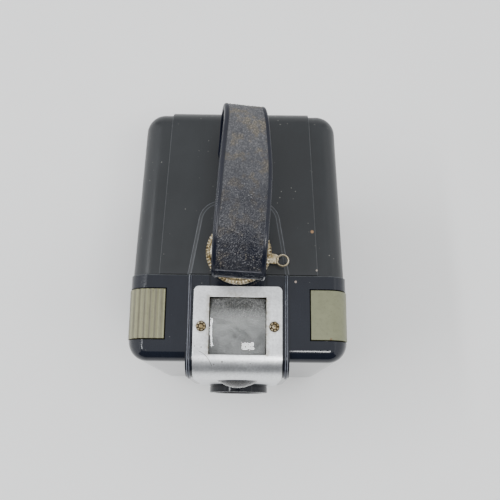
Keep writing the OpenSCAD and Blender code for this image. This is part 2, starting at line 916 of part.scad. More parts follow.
module winding_shaft() {
    knob_x = -body_w / 2 - 1.2;
    key_end = -spool_l / 2 + 3.4;
    color([0.7, 0.7, 0.68]) {
        difference() {
            x_rod(knob_x, -spool_l / 2 - 0.6, takeup_y, takeup_z, shaft_r);
            difference() {
                x_rod(clip_x - 0.9, clip_x + 0.1, takeup_y, takeup_z, shaft_r + 1);
                x_rod(clip_x - 2, clip_x + 1, takeup_y, takeup_z, shaft_r - 0.5);
            }
        }
        block([-spool_l / 2 - 0.6, takeup_y - 2.4, takeup_z - 0.45],
              [key_end, takeup_y + 2.4, takeup_z + 0.45]);
    }
}

module winding_knob() {
    x1 = -body_w / 2 - 1.2;
    x0 = x1 - knob_out;
    grips = 32;
    color([0.12, 0.12, 0.13])
    difference() {
        union() {
            x_rod(x0 + 1, x1, takeup_y, takeup_z, knob_r);
            x_rod(x0, x0 + 1, takeup_y, takeup_z, knob_r - 1.2);
        }
        for (i = [0 : grips - 1])
            translate([0, takeup_y, takeup_z])
                rotate([i * 360 / grips, 0, 0])
                    x_rod(x0 - 1, x1 - 2, 0, knob_r + 0.35, 0.85);
        x_rod(x0 - 1, x0 + 0.8, takeup_y, takeup_z, knob_r - 3);
    }
}

module hinge_pin() {
    color([0.7, 0.7, 0.68])
        x_rod(-hinge_half, hinge_half, part_y, hinge_z, pin_r);
}

// Upright tab that the latch disc's rim turns behind
module latch_catch() {
    z0 = body_h - 0.4;
    y0 = part_y - 2.8;
    color([0.7, 0.58, 0.3]) {
        block([-catch_w / 2, y0, z0], [catch_w / 2, y0 + 1.2, disc_z - 0.4]);
        block([-catch_w / 2, y0, z0], [catch_w / 2, part_y - 0.1, z0 + 0.6]);
    }
}

module back_shell() {
    y0 = part_y + part_gap;
    color([0.24, 0.26, 0.27])
    difference() {
        union() {
            difference() {
                union() {
                    back_form(0, y0);
                    raised_panel(y0);
                    arch_boss(y0);
                    base_pads(1);
                }
                back_form(wall, y0 - 1);
            }
            hinge_lug(0, 2 * hinge_mid);
            block([-hinge_mid, part_y + 0.9, shell_z], [hinge_mid, part_y + 5, shell_z + wall]);
        }
        hinge_relief([[-hinge_half - 0.3, -hinge_mid], [hinge_mid, hinge_half + 0.3]]);
        block([-panel_half - 1, part_y - 1, -1], [panel_half + 1, part_y + 3.2, shell_z]);
        x_rod(-hinge_mid - 1, hinge_mid + 1, part_y, hinge_z, pin_r + run_gap);
        // Latch stud
        translate([0, disc_y, back_top - wall - 1])
            cylinder(r = stud_r, h = wall + 6);
        // Film-number window
        y_rod(rear_y - wall - 4, rear_y + 1, 0, lens_z, peep_r);
        y_rod(rear_y - wall - 4, rear_y - 1.6, 0, lens_z, 7);
        // Handle's rear rivets
        for (x = [-1, 1])
            translate([x * foot_rivet_x, strap_foot_y, back_top - wall - 1])
                cylinder(r = foot_rivet_r + run_gap, h = wall + 6);
    }
}

// Panel that runs over the top, down the rear and along the underside of the back shell
module raised_panel(y0) {
    intersection() {
        back_form(-panel_h, y0);
        linear_extrude(body_h + 4)
            polygon([[-panel_half, y0], [panel_half, y0], [panel_rear_half, rear_y + 1],
                     [-panel_rear_half, rear_y + 1]]);
    }
}

// Round-ended boss that the latch disc turns on
module arch_boss(y0) {
    levels = [[0, back_top], [0, back_top + panel_h], [arch_slope, ridge_z - 0.05]];
    hull()
        for (level = levels, x = [-1, 1]) {
            translate([x * arch_x, part_y + arch_l, level[1]])
                cylinder(r = arch_r - level[0], h = 0.05, $fn = soft_fn);
            translate([x * (boss_half - level[0] - 0.5) - 0.5, y0, level[1]])
                cube([1, 0.1, 0.05]);
        }
}

module red_window() {
    color([0.6, 0.05, 0.05])
        y_rod(rear_y - wall - 1, rear_y - 1.6, 0, lens_z, peep_glass_r);
}

module window_ring() {
    color([0.12, 0.12, 0.13])
    difference() {
        union() {
            y_rod(rear_y - 1.6, rear_y, 0, lens_z, peep_r);
            y_rod(rear_y, rear_y + 0.6, 0, lens_z, 7);
        }
        y_rod(rear_y - 2, rear_y + 1, 0, lens_z, 4.4);
    }
}

module latch_stud() {
    z0 = back_top - wall;
    color([0.7, 0.62, 0.4])
    translate([0, disc_y, 0]) {
        translate([0, 0, z0 - 1.4])
            cylinder(r = 4.6, h = 1.4);
        translate([0, 0, z0])
            cylinder(r = stud_r, h = disc_top + 0.2 - z0);
        translate([0, 0, disc_top + 0.2])
            cylinder(r = 4.6, h = stud_top - disc_top - 0.2);
        translate([0, 0, stud_top])
            cylinder(r = 2, h = strap_t);
    }
}

// Domed disc with a serrated rim, a lower flange with one notch, and a lever with a ring
module latch_disc() {
    teeth = 60;
    notch = catch_w + 4.4;
    ring_r = 2.75;
    color([0.74, 0.6, 0.32])
    translate([0, disc_y, 0])
    difference() {
        union() {
            translate([0, 0, disc_z])
                cylinder(r = disc_r, h = disc_t);
            intersection() {
                translate([0, 0, disc_z])
                    cylinder(r = disc_r - 0.7, h = disc_top - disc_z);
                translate([0, 0, disc_top - 52])
                    sphere(r = 52, $fn = 128);
            }
            difference() {
                translate([0, 0, flange_z])
                    cylinder(r = disc_r, h = disc_z - flange_z);
                translate([0, 0, flange_z - 1])
                    cylinder(r = disc_r - flange_t, h = disc_z - flange_z + 1);
                translate([-notch / 2, -disc_r - 1, flange_z - 1])
                    cube([notch, disc_r, disc_z - flange_z + 1]);
            }
            rotate([0, 0, lever_deg]) {
                translate([disc_r - 1, -2, disc_z])
                    cube([lever_l - disc_r - 0.6, 4, 1]);
                translate([lever_l, 0, disc_z])
                    cylinder(r = ring_r, h = 1.6);
            }
        }
        translate([0, 0, flange_z - 1])
            cylinder(r = stud_r + run_gap, h = 8);
        rotate([0, 0, lever_deg])
            translate([lever_l, 0, disc_z - 1])
                cylinder(r = ring_r - 0.9, h = 4);
        for (i = [0 : teeth - 1])
            rotate([0, 0, i * 360 / teeth])
                translate([disc_r + 0.15, 0, disc_z - 0.01])
                    cylinder(r = 0.45, h = 3, $fn = 16);
    }
}

// Cubic curve through four control points
function bezier(p, t) =
    p[0] * (1 - t) ^ 3 + p[1] * 3 * t * (1 - t) ^ 2 + p[2] * 3 * t ^ 2 * (1 - t) + p[3] * t ^ 3;
function bezier_slope(p, t) =
    (p[1] - p[0]) * 3 * (1 - t) ^ 2 + (p[2] - p[1]) * 6 * t * (1 - t) + (p[3] - p[2]) * 3 * t ^ 2;

// Handle's middle line from the latch stud over the crest to the rear foot, as curves in Y and Z
strap_curves = [
    [[disc_y + 5.5, strap_end_z], [disc_y + 2, strap_end_z], [disc_y - 2, strap_end_z],
     [disc_y - 4.5, strap_end_z]],
    [[disc_y - 4.5, strap_end_z], [strap_front_y + 1.5, strap_end_z],
     [strap_front_y, strap_end_z + 3], [strap_front_y, strap_end_z + 7]],
    [[strap_front_y, strap_end_z + 7], [strap_front_y, strap_end_z + 17],
     [strap_front_y + 12, strap_crest_z], [disc_y + 19, strap_crest_z]],
    [[disc_y + 19, strap_crest_z], [strap_back_y - 17, strap_crest_z],
     [strap_back_y, strap_crest_z - 4], [strap_back_y, strap_crest_z - 15]],
    [[strap_back_y, strap_crest_z - 15], [strap_back_y, strap_foot_z + 3],
     [strap_back_y - 3, strap_foot_z], [strap_foot_y + 2, strap_foot_z]],
    [[strap_foot_y + 2, strap_foot_z], [strap_foot_y, strap_foot_z],
     [strap_foot_y - 3, strap_foot_z], [strap_foot_y - 5, strap_foot_z]]
];
strap_steps = 8;
function strap_side(side) = [
    for (c = strap_curves, i = [0 : strap_steps - 1])
        let (t = i / strap_steps, d = bezier_slope(c, t), n = [-d[1], d[0]] / norm(d))
            bezier(c, t) + n * side * strap_t / 2
];
function reversed(list) = [for (i = [len(list) - 1 : -1 : 0]) list[i]];

module handle_strap() {
    half = strap_w / 2;
    rear_half = strap_rear_w / 2;
    color([0.13, 0.14, 0.2])
    difference() {
        intersection() {
            x_extrude(-half, half)
                polygon(concat(strap_side(1), reversed(strap_side(-1))));
            linear_extrude(body_h + 60)
                polygon([[-half, front_y], [half, front_y], [half, 12], [rear_half, strap_back_y - 2],
                         [rear_half, rear_y], [-rear_half, rear_y], [-rear_half, strap_back_y - 2],
                         [-half, 12]]);
        }
        translate([0, disc_y, strap_end_z - strap_t])
            cylinder(r = 2, h = 2 * strap_t);
        for (x = [-1, 1])
            translate([x * foot_rivet_x, strap_foot_y, strap_foot_z - strap_t])
                cylinder(r = foot_rivet_r, h = 2 * strap_t);
    }
}

module handle_stud_cap() {
    color([0.7, 0.62, 0.4])
    translate([0, disc_y, stud_top + strap_t])
        cylinder(r1 = 4, r2 = 3, h = 1);
}

module handle_rear_bracket() {
    z0 = back_top + panel_h;
    z1 = strap_foot_z - strap_t / 2;
    color([0.55, 0.53, 0.45])
    difference() {
        block([-7.2, strap_foot_y - 4.5, z0], [7.2, strap_foot_y + 4.5, z1]);
        for (x = [-1, 1])
            translate([x * foot_rivet_x, strap_foot_y, z0 - 1])
                cylinder(r = foot_rivet_r, h = 8);
    }
}

module handle_rear_rivets() {
    z0 = back_top - wall - 0.05;
    color([0.6, 0.58, 0.5])
    for (x = [-1, 1])
        translate([x * foot_rivet_x, strap_foot_y, 0]) {
            translate([0, 0, z0 - 0.7])
                cylinder(r = 2.3, h = 0.7);
            translate([0, 0, z0])
                cylinder(r = foot_rivet_r, h = strap_foot_z + strap_t / 2 - z0);
            translate([0, 0, strap_foot_z + strap_t / 2])
                cylinder(r1 = 2.4, r2 = 1.6, h = 0.9);
        }
}

front_shell();
faceplate();
faceplate_rivets();
finder_eye_lens();
finder_objective_lens();
finder_housing();
finder_mirror();
lens_hood();
taking_lens();
lens_retainer();
shutter_plate();
shutter_screws();
shutter_pivots();
shutter_spring();
shutter_lever();
shutter_blade();
release_button();
release_stem();
release_spring();
time_lever();
time_stem();
film_carrier();
carrier_screws();
roller_pins();
film_roller_upper();
film_roller_lower();
supply_spindles();
supply_spring();
takeup_spindle();
takeup_spring();
takeup_spool();
winding_bush();
winder_clip();
winding_shaft();
winding_knob();
hinge_pin();
latch_catch();
back_shell();
red_window();
window_ring();
latch_stud();
latch_disc();
handle_strap();
handle_stud_cap();
handle_rear_bracket();
handle_rear_rivets();
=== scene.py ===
"""Looks of the box camera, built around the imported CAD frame."""
import json
import math

import bmesh
import bpy
import numpy as np
from mathutils import Matrix, Vector, noise


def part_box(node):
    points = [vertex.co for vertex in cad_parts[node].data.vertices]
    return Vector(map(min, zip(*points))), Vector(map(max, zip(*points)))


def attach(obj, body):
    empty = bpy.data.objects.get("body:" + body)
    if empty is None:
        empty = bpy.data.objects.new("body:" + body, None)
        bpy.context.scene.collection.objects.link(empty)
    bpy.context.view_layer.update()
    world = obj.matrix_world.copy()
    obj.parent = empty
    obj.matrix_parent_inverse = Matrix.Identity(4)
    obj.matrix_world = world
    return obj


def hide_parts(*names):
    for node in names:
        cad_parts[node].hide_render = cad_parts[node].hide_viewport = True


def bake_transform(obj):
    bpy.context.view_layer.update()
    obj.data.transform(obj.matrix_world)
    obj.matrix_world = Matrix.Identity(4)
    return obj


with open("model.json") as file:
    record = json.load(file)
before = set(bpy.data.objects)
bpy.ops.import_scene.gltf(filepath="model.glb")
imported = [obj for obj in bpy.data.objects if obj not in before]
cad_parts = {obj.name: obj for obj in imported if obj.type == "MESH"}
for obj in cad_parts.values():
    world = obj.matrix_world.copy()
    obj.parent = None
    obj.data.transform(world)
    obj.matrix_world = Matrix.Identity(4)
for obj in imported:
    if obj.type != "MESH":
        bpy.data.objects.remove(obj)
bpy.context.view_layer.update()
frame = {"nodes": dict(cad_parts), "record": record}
MM = 0.001

# ---------------------------------------------------------------- the CAD model's dimensions, in mm
# Shells: half width, front, rear and parting faces, wall, edge radius, top faces, lowest face
BODY_X, FRONT, REAR, PART = 45, -55, 55, -20
WALL, EDGE, BROW = 2.6, 8.5, 5.3
TOP, BACK_TOP, BAND, RIDGE, SHELL_Z = 114, 113.6, 114.5, 115.2, 0.9
BACK_X, BACK_DRAFT = 44.4, 0.036
# Boss: half width, front face and bend radius; half width and stand-off of the panel on the back shell
BOSS_X, BOSS_Y, BEND = 20.9, -61, 9
PANEL, PANEL_X, PANEL_REAR_X = 0.9, 32.6, 29.4
# Arch under the latch disc: radius and middle of its round corners, and where their line meets the sides
ARCH_R, ARCH_X, ARCH_Y = 9, 8, 2.7
ARCH_TANGENT = (16.88, 4.2)
# Finder window and the round lens below it: middle and half size of each
WINDOW_Y, WINDOW_HALF, OBJECTIVE_Z, OBJECTIVE_R = -40.9, 11.6, 94, 8.4
# Taking lens height, hood radius, and the faceplate's thickness, half width and rivets
LENS_Z, HOOD_R, PLATE, PLATE_X = 55, 13.9, 0.7, 18
RIVET_X, RIVET_Y = 14.75, -41.3
# Latch disc, then the strap's thickness and its rear rivets
DISC_Y, STRAP, STRAP_FOOT_Y, STRAP_RIVET_X = -11, 3.4, 33.8, 4.5
# Feet, hinge, button travel and winding bush
FEET_X, FOOT_R = 33.5, 3.2
HINGE_Z, LUG_R, LUG_ROOM = 2.3, 2.2, 2.6
BUTTON_H, BUTTON_TRAVEL = 13, 4
BUSH_Y, BUSH_Z, BUSH_R = -35.5, 19, 4.5
# How far both shells run past the parting face before it is cut
OVER = 1.0

# Camera: place from the middle of the top's front edge in mm, turns in degrees, lens in mm
CAMERA_PLACE = (3.86, -21.31, 267.79)
CAMERA_TURNS = (14.06, -0.66, -1.32)
CAMERA_LENS, CAMERA_SENSOR = 47.85624, 36


# ---------------------------------------------------------------- camera, floor and light
def make_camera():
    """Camera over the front edge, looking down and back."""
    tilt, yaw, roll = (math.radians(a) for a in CAMERA_TURNS)
    turn = Matrix.Rotation(yaw, 3, "Z")
    forward = turn @ Vector((0, math.sin(tilt), -math.cos(tilt)))
    up = turn @ Vector((0, math.cos(tilt), math.sin(tilt)))
    right = forward.cross(up)
    cam_right = math.cos(roll) * right - math.sin(roll) * up
    cam_up = math.sin(roll) * right + math.cos(roll) * up
    data = bpy.data.cameras.new("camera")
    data.sensor_width = CAMERA_SENSOR
    data.lens = CAMERA_LENS
    data.clip_start = 0.01
    data.clip_end = 20
    camera = bpy.data.objects.new("camera", data)
    bpy.context.scene.collection.objects.link(camera)
    basis = Matrix((cam_right, cam_up, -forward)).transposed().to_4x4()
    place = (Vector((0, FRONT, TOP)) + Vector(CAMERA_PLACE)) * MM
    camera.matrix_world = Matrix.Translation(place) @ basis
    bpy.context.scene.camera = camera


def area_light(name, place, aim, size, energy, across=(1, 0, 0), color=(1, 1, 1)):
    """Rectangular light; size is its length along the direction across, then its other length."""
    data = bpy.data.lights.new(name, "AREA")
    data.shape = "RECTANGLE"
    data.size, data.size_y = size
    data.energy = energy
    data.color = color
    light = bpy.data.objects.new(name, data)
    bpy.context.scene.collection.objects.link(light)
    back = (Vector(place) - Vector(aim)).normalized()
    side = (Vector(across) - Vector(across).dot(back) * back).normalized()
    turn = Matrix((side, back.cross(side), back)).transposed().to_4x4()
    light.matrix_world = Matrix.Translation(place) @ turn
    return light


def make_world():
    """Faint even light from all round."""
    world = bpy.data.worlds.new("world")
    world.use_nodes = True
    background = world.node_tree.nodes["Background"]
    background.inputs["Color"].default_value = (0.93, 0.95, 1.0, 1)
    background.inputs["Strength"].default_value = 0.16
    bpy.context.scene.world = world


# ---------------------------------------------------------------- material helpers
class Shader:
    """One node material, with short calls for the nodes that the looks use."""

    def __init__(self, name, color, roughness, metallic=0.0, **sockets):
        self.material = bpy.data.materials.new(name)
        self.material.use_nodes = True
        self.tree = self.material.node_tree
        self.bsdf = self.tree.nodes["Principled BSDF"]
        self.surface(Base_Color=(*color, 1), Roughness=roughness, Metallic=metallic, **sockets)
        self.coords = self.node("TexCoord", {}, "Object")
        self.x, self.y, self.z = (self.node("SeparateXYZ", {0: self.coords}, letter) for letter in "XYZ")

    def fill(self, socket, value):
        """Links a node's output to a socket, or sets the socket's own value."""
        if isinstance(value, bpy.types.NodeSocket):
            self.tree.links.new(value, socket)
        else:
            socket.default_value = value

    def surface(self, **sockets):
        """Fills inputs of the surface, named with _ for each space."""
        for name, value in sockets.items():
            self.fill(self.bsdf.inputs[name.replace("_", " ")], value)

    def node(self, kind, sockets, output=0, **settings):
        """Output of a new node with these sockets filled and these settings of its own."""
        node = self.tree.nodes.new("ShaderNode" + kind)
        for name, value in settings.items():
            setattr(node, name, value)
        for socket, value in sockets.items():
            self.fill(node.inputs[socket], value)
        return node.outputs[output]

    def noise(self, scale, detail=4.0, rough=0.55, stretch=(1, 1, 1), distortion=0.0):
        """Noise in object space; scale is in features per metre."""
        place = self.node("Mapping", {"Vector": self.coords, "Scale": stretch})
        return self.node("TexNoise", {"Vector": place, "Scale": scale, "Detail": detail, "Roughness": rough,
                                      "Distortion": distortion}, "Fac")

    def cells(self, scale, feature="F1"):
        """Distance in a field of cells; scale is in cells per metre."""
        return self.node("TexVoronoi", {"Vector": self.coords, "Scale": scale}, "Distance", feature=feature)

    def ramp(self, value, stops):
        """Colour ramp; stops are (place, colour)."""
        node = self.tree.nodes.new("ShaderNodeValToRGB")
        elements = node.color_ramp.elements
        while len(elements) < len(stops):
            elements.new(0.5)
        for element, (place, tone) in zip(elements, stops):
            element.position = place
            element.color = (*tone, 1)
        self.fill(node.inputs["Fac"], value)
        return node.outputs["Color"]

    def span(self, value, low, high, to_low=0.0, to_high=1.0):
        """A value's share of the way from low to high, between two results."""
        return self.node("MapRange", {"Value": value, "From Min": low, "From Max": high, "To Min": to_low,
                                      "To Max": to_high}, "Result")

    def math(self, operation, *values):
        return self.node("Math", dict(enumerate(values)), operation=operation)

    def plus(self, a, b):
        return self.math("ADD", a, b)

    def less(self, a, b):
        return self.math("SUBTRACT", a, b)

    def times(self, a, b):
        return self.math("MULTIPLY", a, b)

    def most(self, a, b):
        return self.math("MAXIMUM", a, b)

    def least(self, a, b):
        return self.math("MINIMUM", a, b)

    def size(self, a):
        return self.math("ABSOLUTE", a)

    def length(self, a, b):
        """Length of a plan vector with these two parts."""
        return self.math("SQRT", self.plus(self.times(a, a), self.times(b, b)))

    def mark(self, name):
        """A value that the mesh carries at its points."""
        return self.node("Attribute", {}, "Fac", attribute_name=name)

    def away(self, x, y):
        """Distance from a place in the plan view."""
        return self.length(self.less(self.x, x), self.less(self.y, y))

    def mix(self, factor, a, b):
        """Mix of two colours; a and b are colours or sockets."""
        a, b = ((*tone, 1) if isinstance(tone, tuple) else tone for tone in (a, b))
        return self.node("Mix", {"Factor": factor, 6: a, 7: b}, 2, data_type="RGBA")

    def color(self, value):
        self.surface(Base_Color=value)

    def roughness(self, value):
        self.surface(Roughness=value)

    def bump(self, height, distance, strength):
        """Bump of the given depth in metres, added over earlier bumps."""
        sockets = {"Strength": strength, "Distance": distance, "Height": height}
        earlier = self.bsdf.inputs["Normal"].links
        if earlier:
            sockets["Normal"] = earlier[0].from_socket
        self.surface(Normal=self.node("Bump", sockets, "Normal"))


def shades(color, *factors):
    """Lighter and darker versions of a colour."""
    return [tuple(min(1, c * factor) for c in color) for factor in factors]


def phenolic(name, color, low_rough, high_rough, gloss_y=None, lines=(), spots=(), specular=0.5):
    """Moulded phenolic: even satin, with handling marks, dust specks, faint ripple and light lines painted along
    edges.

    In front of gloss_y the surface keeps its first gloss. lines are (distance from an edge as a function of the
    shader, half width, colour) of the light lines painted along edges; spots are (x, y, radius, colour) of single
    marks.
    """
    s = Shader(name, color, 0.3, 0.0, Specular_IOR_Level=specular)
    wide = s.noise(45, 5, 0.6)
    fine = s.noise(1400, 3, 0.6)
    rub = s.noise(260, 4, 0.6, stretch=(1, 0.3, 1))
    worn = s.plus(s.times(wide, 0.7), s.times(rub, 0.3))
    rough = s.span(worn, 0.35, 0.65, low_rough, high_rough)
    if gloss_y is not None:
        rough = s.times(rough, s.span(s.y, gloss_y - 0.001, gloss_y + 0.001, 0.4, 1))
    s.roughness(rough)
    base = s.mix(s.span(worn, 0.3, 0.7), *shades(color, 0.8, 1.25))
    dots = s.span(s.cells(420), 0.06, 0.11, 1, 0)
    rare = s.span(s.noise(90, 2), 0.54, 0.62)
    base = s.mix(s.times(dots, rare), base, (0.2, 0.2, 0.18))
    top = s.span(s.z, 0.1, 0.106)
    patchy = s.span(s.noise(400, 4, 0.7), 0.3, 0.6, 0.45, 1)
    # Light lines painted along edges, most of them highlights, in patches and on the top faces only
    for distance, half_width, tone in lines:
        mark = s.times(s.span(distance(s), half_width * 0.4, half_width, 1, 0), top)
        base = s.mix(s.times(mark, patchy), base, tone)
    for x, y, radius, tone in spots:
        away = s.away(x, y)
        base = s.mix(s.times(s.span(away, radius * 0.6, radius, 1, 0), top), base, tone)
    s.color(base)
    s.bump(fine, 0.000006, 0.5)
    s.bump(s.noise(35, 2), 0.00008, 0.4)
    return s.material


def rail_lines(s, places):
    """Distance from lines on both sides that run along y, at two distances from the middle."""
    out = s.size(s.x)
    first, second = (s.size(s.less(out, place)) for place in places)
    return s.least(first, second)


def parting_line(s):
    """Distance from the front shell's rear edge."""
    return s.size(s.less(s.y, -0.0201))


def panel_line(s):
    """Distance from the long edges of the raised panel on the back shell."""
    edge = s.span(s.y, PART * MM, REAR * MM, PANEL_X * MM, PANEL_REAR_X * MM)
    return s.size(s.less(s.size(s.x), edge))


def arch_line(s, inset):
    """Distance from the outline of the boss under the latch disc."""
    out, y = s.size(s.x), s.y
    meet_x, meet_y = (v * MM for v in ARCH_TANGENT)
    blur, far = 0.0001, 100
    edge = s.less(s.span(y, PART * MM, meet_y, BOSS_X * MM, meet_x), inset)
    side = s.times(s.size(s.less(out, edge)), s.span(y, meet_y, meet_y + blur, 1, far))
    away = s.length(s.less(out, ARCH_X * MM), s.less(y, ARCH_Y * MM))
    end = s.size(s.less(away, ARCH_R * MM - inset))
    end = s.times(end, s.span(y, meet_y - blur, meet_y, far, 1))
    return s.least(side, end)


def aluminium(name):
    """Satin aluminium, mottled by age, with pits, a curved scratch and brown dirt at the window."""
    s = Shader(name, (0.62, 0.63, 0.64), 0.35, 1.0)
    cloud = s.noise(90, 4, 0.6)
    mottle = s.noise(1100, 5, 0.75)
    grain = s.noise(2600, 2, 0.5, stretch=(1, 0.08, 0.08))
    pits = s.span(s.cells(520), 0.08, 0.15, 1, 0)
    rare = s.span(s.noise(230, 3), 0.52, 0.58)
    tone = s.plus(s.times(cloud, 0.35), s.times(mottle, 0.65))
    base = s.mix(s.span(tone, 0.36, 0.64), (0.61, 0.62, 0.63), (0.92, 0.94, 0.96))
    base = s.mix(s.times(s.times(pits, rare), 0.55), base, (0.16, 0.16, 0.14))
    # Single dark marks: x, y and radius
    for x, y, radius in ((-0.0144, -0.0497, 0.0003), (-0.0171, -0.0493, 0.0003), (-0.0093, -0.0564, 0.00032),
                         (-0.006, -0.0553, 0.00042), (0.0052, -0.0559, 0.00028)):
        base = s.mix(s.span(s.away(x, y), radius * 0.5, radius, 0.85, 0), base, (0.1, 0.1, 0.09))
    # Dirt beside the window, behind it and round the rivets
    out = s.size(s.x)
    beside = s.size(s.less(out, WINDOW_HALF * MM))
    lengthwise = s.size(s.less(s.y, WINDOW_Y * MM))
    near_side = s.times(s.span(beside, 0.0002, 0.0019, 1, 0), s.span(lengthwise, 0.0118, 0.0128, 1, 0))
    behind = s.size(s.less(s.y, -0.0288))
    near_rear = s.times(s.span(behind, 0.0004, 0.0032, 1, 0), s.span(out, 0.002, 0.012, 0.7, 0.05))
    around = s.most(*(s.span(s.less(s.away(side * RIVET_X * MM, RIVET_Y * MM), 0.0021), 0.0, 0.0009, 1, 0)
                      for side in (1, -1)))
    dirt = s.most(s.most(near_side, near_rear), around)
    dirt = s.times(dirt, s.span(s.noise(600, 4, 0.7), 0.35, 0.65, 0.1, 0.85))
    base = s.mix(dirt, base, (0.3, 0.26, 0.17))
    # Scratch along an arc: middle of the arc, then its radius
    off = s.size(s.less(s.away(-0.0188, -0.0596), 0.00902))
    scratch = s.times(s.span(off, 0.00006, 0.00014, 1, 0), s.span(s.y, -0.0572, -0.0569))
    scratch = s.times(scratch, s.span(s.x, -0.0156, -0.0153))
    s.color(s.mix(s.times(scratch, 0.85), base, (0.07, 0.07, 0.06)))
    s.roughness(s.span(s.plus(cloud, s.times(grain, 0.4)), 0.5, 0.95, 0.3, 0.46))
    s.bump(grain, 0.000012, 0.7)
    return s.material


def brass(name, rivet_heads=False, gilt=1.0, cream=0.0):
    """Aged brass with brown tarnish and near-black pits.

    gilt scales its brightness, cream is the share of pale wear, and rivet_heads draws the dark rim, well
    and seven notches of both rivet heads.
    """
    s = Shader(name, (0.5, 0.38, 0.18), 0.35, 1.0)
    patina = s.noise(420, 6, 0.7)
    pits = s.span(s.cells(800), 0.12, 0.32, 1, 0)
    pitted = s.times(pits, s.span(s.noise(150, 3), 0.4, 0.5))
    dull, warm, bright = (shades(tone, gilt)[0]
                          for tone in ((0.34, 0.26, 0.13), (0.56, 0.48, 0.32), (0.74, 0.7, 0.58)))
    base = s.ramp(patina, [(0.3, (0.1, 0.065, 0.03)), (0.44, dull), (0.58, warm), (0.74, bright)])
    if cream:
        base = s.mix(s.span(s.noise(260, 4, 0.6), 0.38, 0.62, 0, cream), base, (0.8, 0.74, 0.6))
    base = s.mix(s.times(pitted, 0.9), base, (0.03, 0.02, 0.01))
    if rivet_heads:
        for side in (-1, 1):
            x, y = side * RIVET_X * MM, RIVET_Y * MM
            away = s.away(x, y)
            outline = s.span(away, 0.00178, 0.002, 0, 1)
            near = s.span(away, 0.003, 0.0031, 1, 0)
            well = s.times(s.span(away, 0.00075, 0.0009), s.span(away, 0.00112, 0.00125, 1, 0))
            turn = s.math("ARCTAN2", s.less(s.y, y), s.less(s.x, x))
            notch = s.span(s.math("COSINE", s.times(turn, 7)), 0.15, 0.6)
            notch = s.times(notch, s.span(away, 0.001, 0.0011))
            dark = s.times(s.most(s.most(outline, well), notch), near)
            base = s.mix(dark, base, (0.05, 0.03, 0.015))
    s.color(base)
    s.roughness(s.span(patina, 0.3, 0.7, 0.6, 0.28))
    s.bump(s.noise(1800, 3), 0.00003, 0.6)
    return s.material


def leather(name):
    """Moulded strap: glossy dark rims, a pebbled field, grey-tan dust that grows towards the rear, and glints painted
    on the front pebble crowns.

    The mesh carries field (1 on the grain), crown (a pebble's height) and a share for the highlight painted along the
    lower edge and over the cross line.
    """
    s = Shader(name, (0.012, 0.013, 0.022), 0.34)
    s.surface(Specular_IOR_Level=s.span(s.z, 0.13, 0.146, 0.02, 0.4))
    field = s.mark("field")
    crown = s.mark("crown")
    scuff = s.noise(110, 5, 0.65)
    fleck = s.noise(1300, 3, 0.7)
    rear = s.span(s.y, -0.018, 0.036)
    amount = s.plus(s.times(rear, 0.75), s.span(scuff, 0.35, 0.7, -0.05, 0.22))
    high = s.span(s.plus(crown, s.times(fleck, 0.4)), 0.2, 1.15, 0.36, 1.05)
    amount = s.times(amount, s.span(s.z, 0.122, 0.141, 0.2, 1))
    # Pale colour on the pebble crowns at the front: painted glints
    painted_glints = s.times(s.span(crown, 0.5, 0.95), s.span(s.z, 0.124, 0.14, 0.04, 0.62))
    painted_glints = s.times(painted_glints, s.span(rear, 0, 0.35, 1, 0))
    amount = s.plus(s.times(high, amount), painted_glints)
    # dust here also holds the glints painted on the front pebble crowns
    dust = s.times(s.least(amount, 1.0), field)
    base = s.mix(s.noise(300, 3), (0.003, 0.004, 0.009), (0.008, 0.01, 0.02))
    tone = s.mix(s.span(s.noise(240, 3), 0.5, 0.62), (0.155, 0.155, 0.16), (0.2, 0.178, 0.142))
    # Highlight painted along the lower edge and the cross line, in patches
    worn = s.times(s.mark("painted_highlight"), s.span(s.noise(260, 3), 0.3, 0.6, 0.5, 1))
    s.color(s.mix(worn, s.mix(dust, base, tone), (0.22, 0.22, 0.24)))
    gloss = s.span(s.plus(scuff, s.times(rear, 0.35)), 0.3, 1.0, 0.16, 0.5)
    s.roughness(s.plus(gloss, s.span(s.z, 0.1235, 0.1255, 0.4, 0)))
    wrinkle = s.least(s.times(s.cells(1100, "DISTANCE_TO_EDGE"), 2.2), 1.0)
    wrinkle = s.plus(wrinkle, s.noise(900, 2, 0.5))
    relief = s.times(s.times(wrinkle, field), s.span(rear, 0, 0.8, 1, 0.35))
    s.bump(relief, 0.00022, 1.0)
    s.bump(s.noise(700, 3), 0.00002, 0.5)
    return s.material


def ivory(name, color, spot=None, grooves=None):
    """Aged cream plastic with grime and shade painted into its grooves; spot is a brown stain, grooves the first
    one's place and the pitch.
    """
    s = Shader(name, color, 0.45)
    cloud = s.noise(220, 5, 0.6)
    grime = s.span(s.noise(700, 4, 0.7), 0.5, 0.75)
    base = s.mix(cloud, *shades(color, 0.8, 1.15))
    base = s.mix(s.times(grime, 0.4), base, *shades(color, 0.4))
    if spot:
        base = s.mix(s.span(s.away(*spot), 0.0003, 0.0007, 0.8, 0), base, (0.14, 0.08, 0.03))
    # Shade painted into the grooves between the ribs, uneven along them
    if grooves:
        first, pitch = grooves
        turn = s.math("DIVIDE", s.less(s.size(s.x), first), pitch)
        off = s.size(s.less(s.math("FRACT", s.plus(turn, 10.5)), 0.5))
        depth = s.span(off, 0.04, 0.44, 1, 0)
        depth = s.times(depth, s.span(s.noise(500, 4, 0.6, stretch=(1, 0.2, 1)), 0.3, 0.6, 0.6, 0.95))
        base = s.mix(depth, base, (0.09, 0.08, 0.05))
    s.color(base)
    s.roughness(s.span(cloud, 0.3, 0.7, 0.36, 0.52))
    s.bump(s.noise(1500, 3), 0.000015, 0.5)
    return s.material


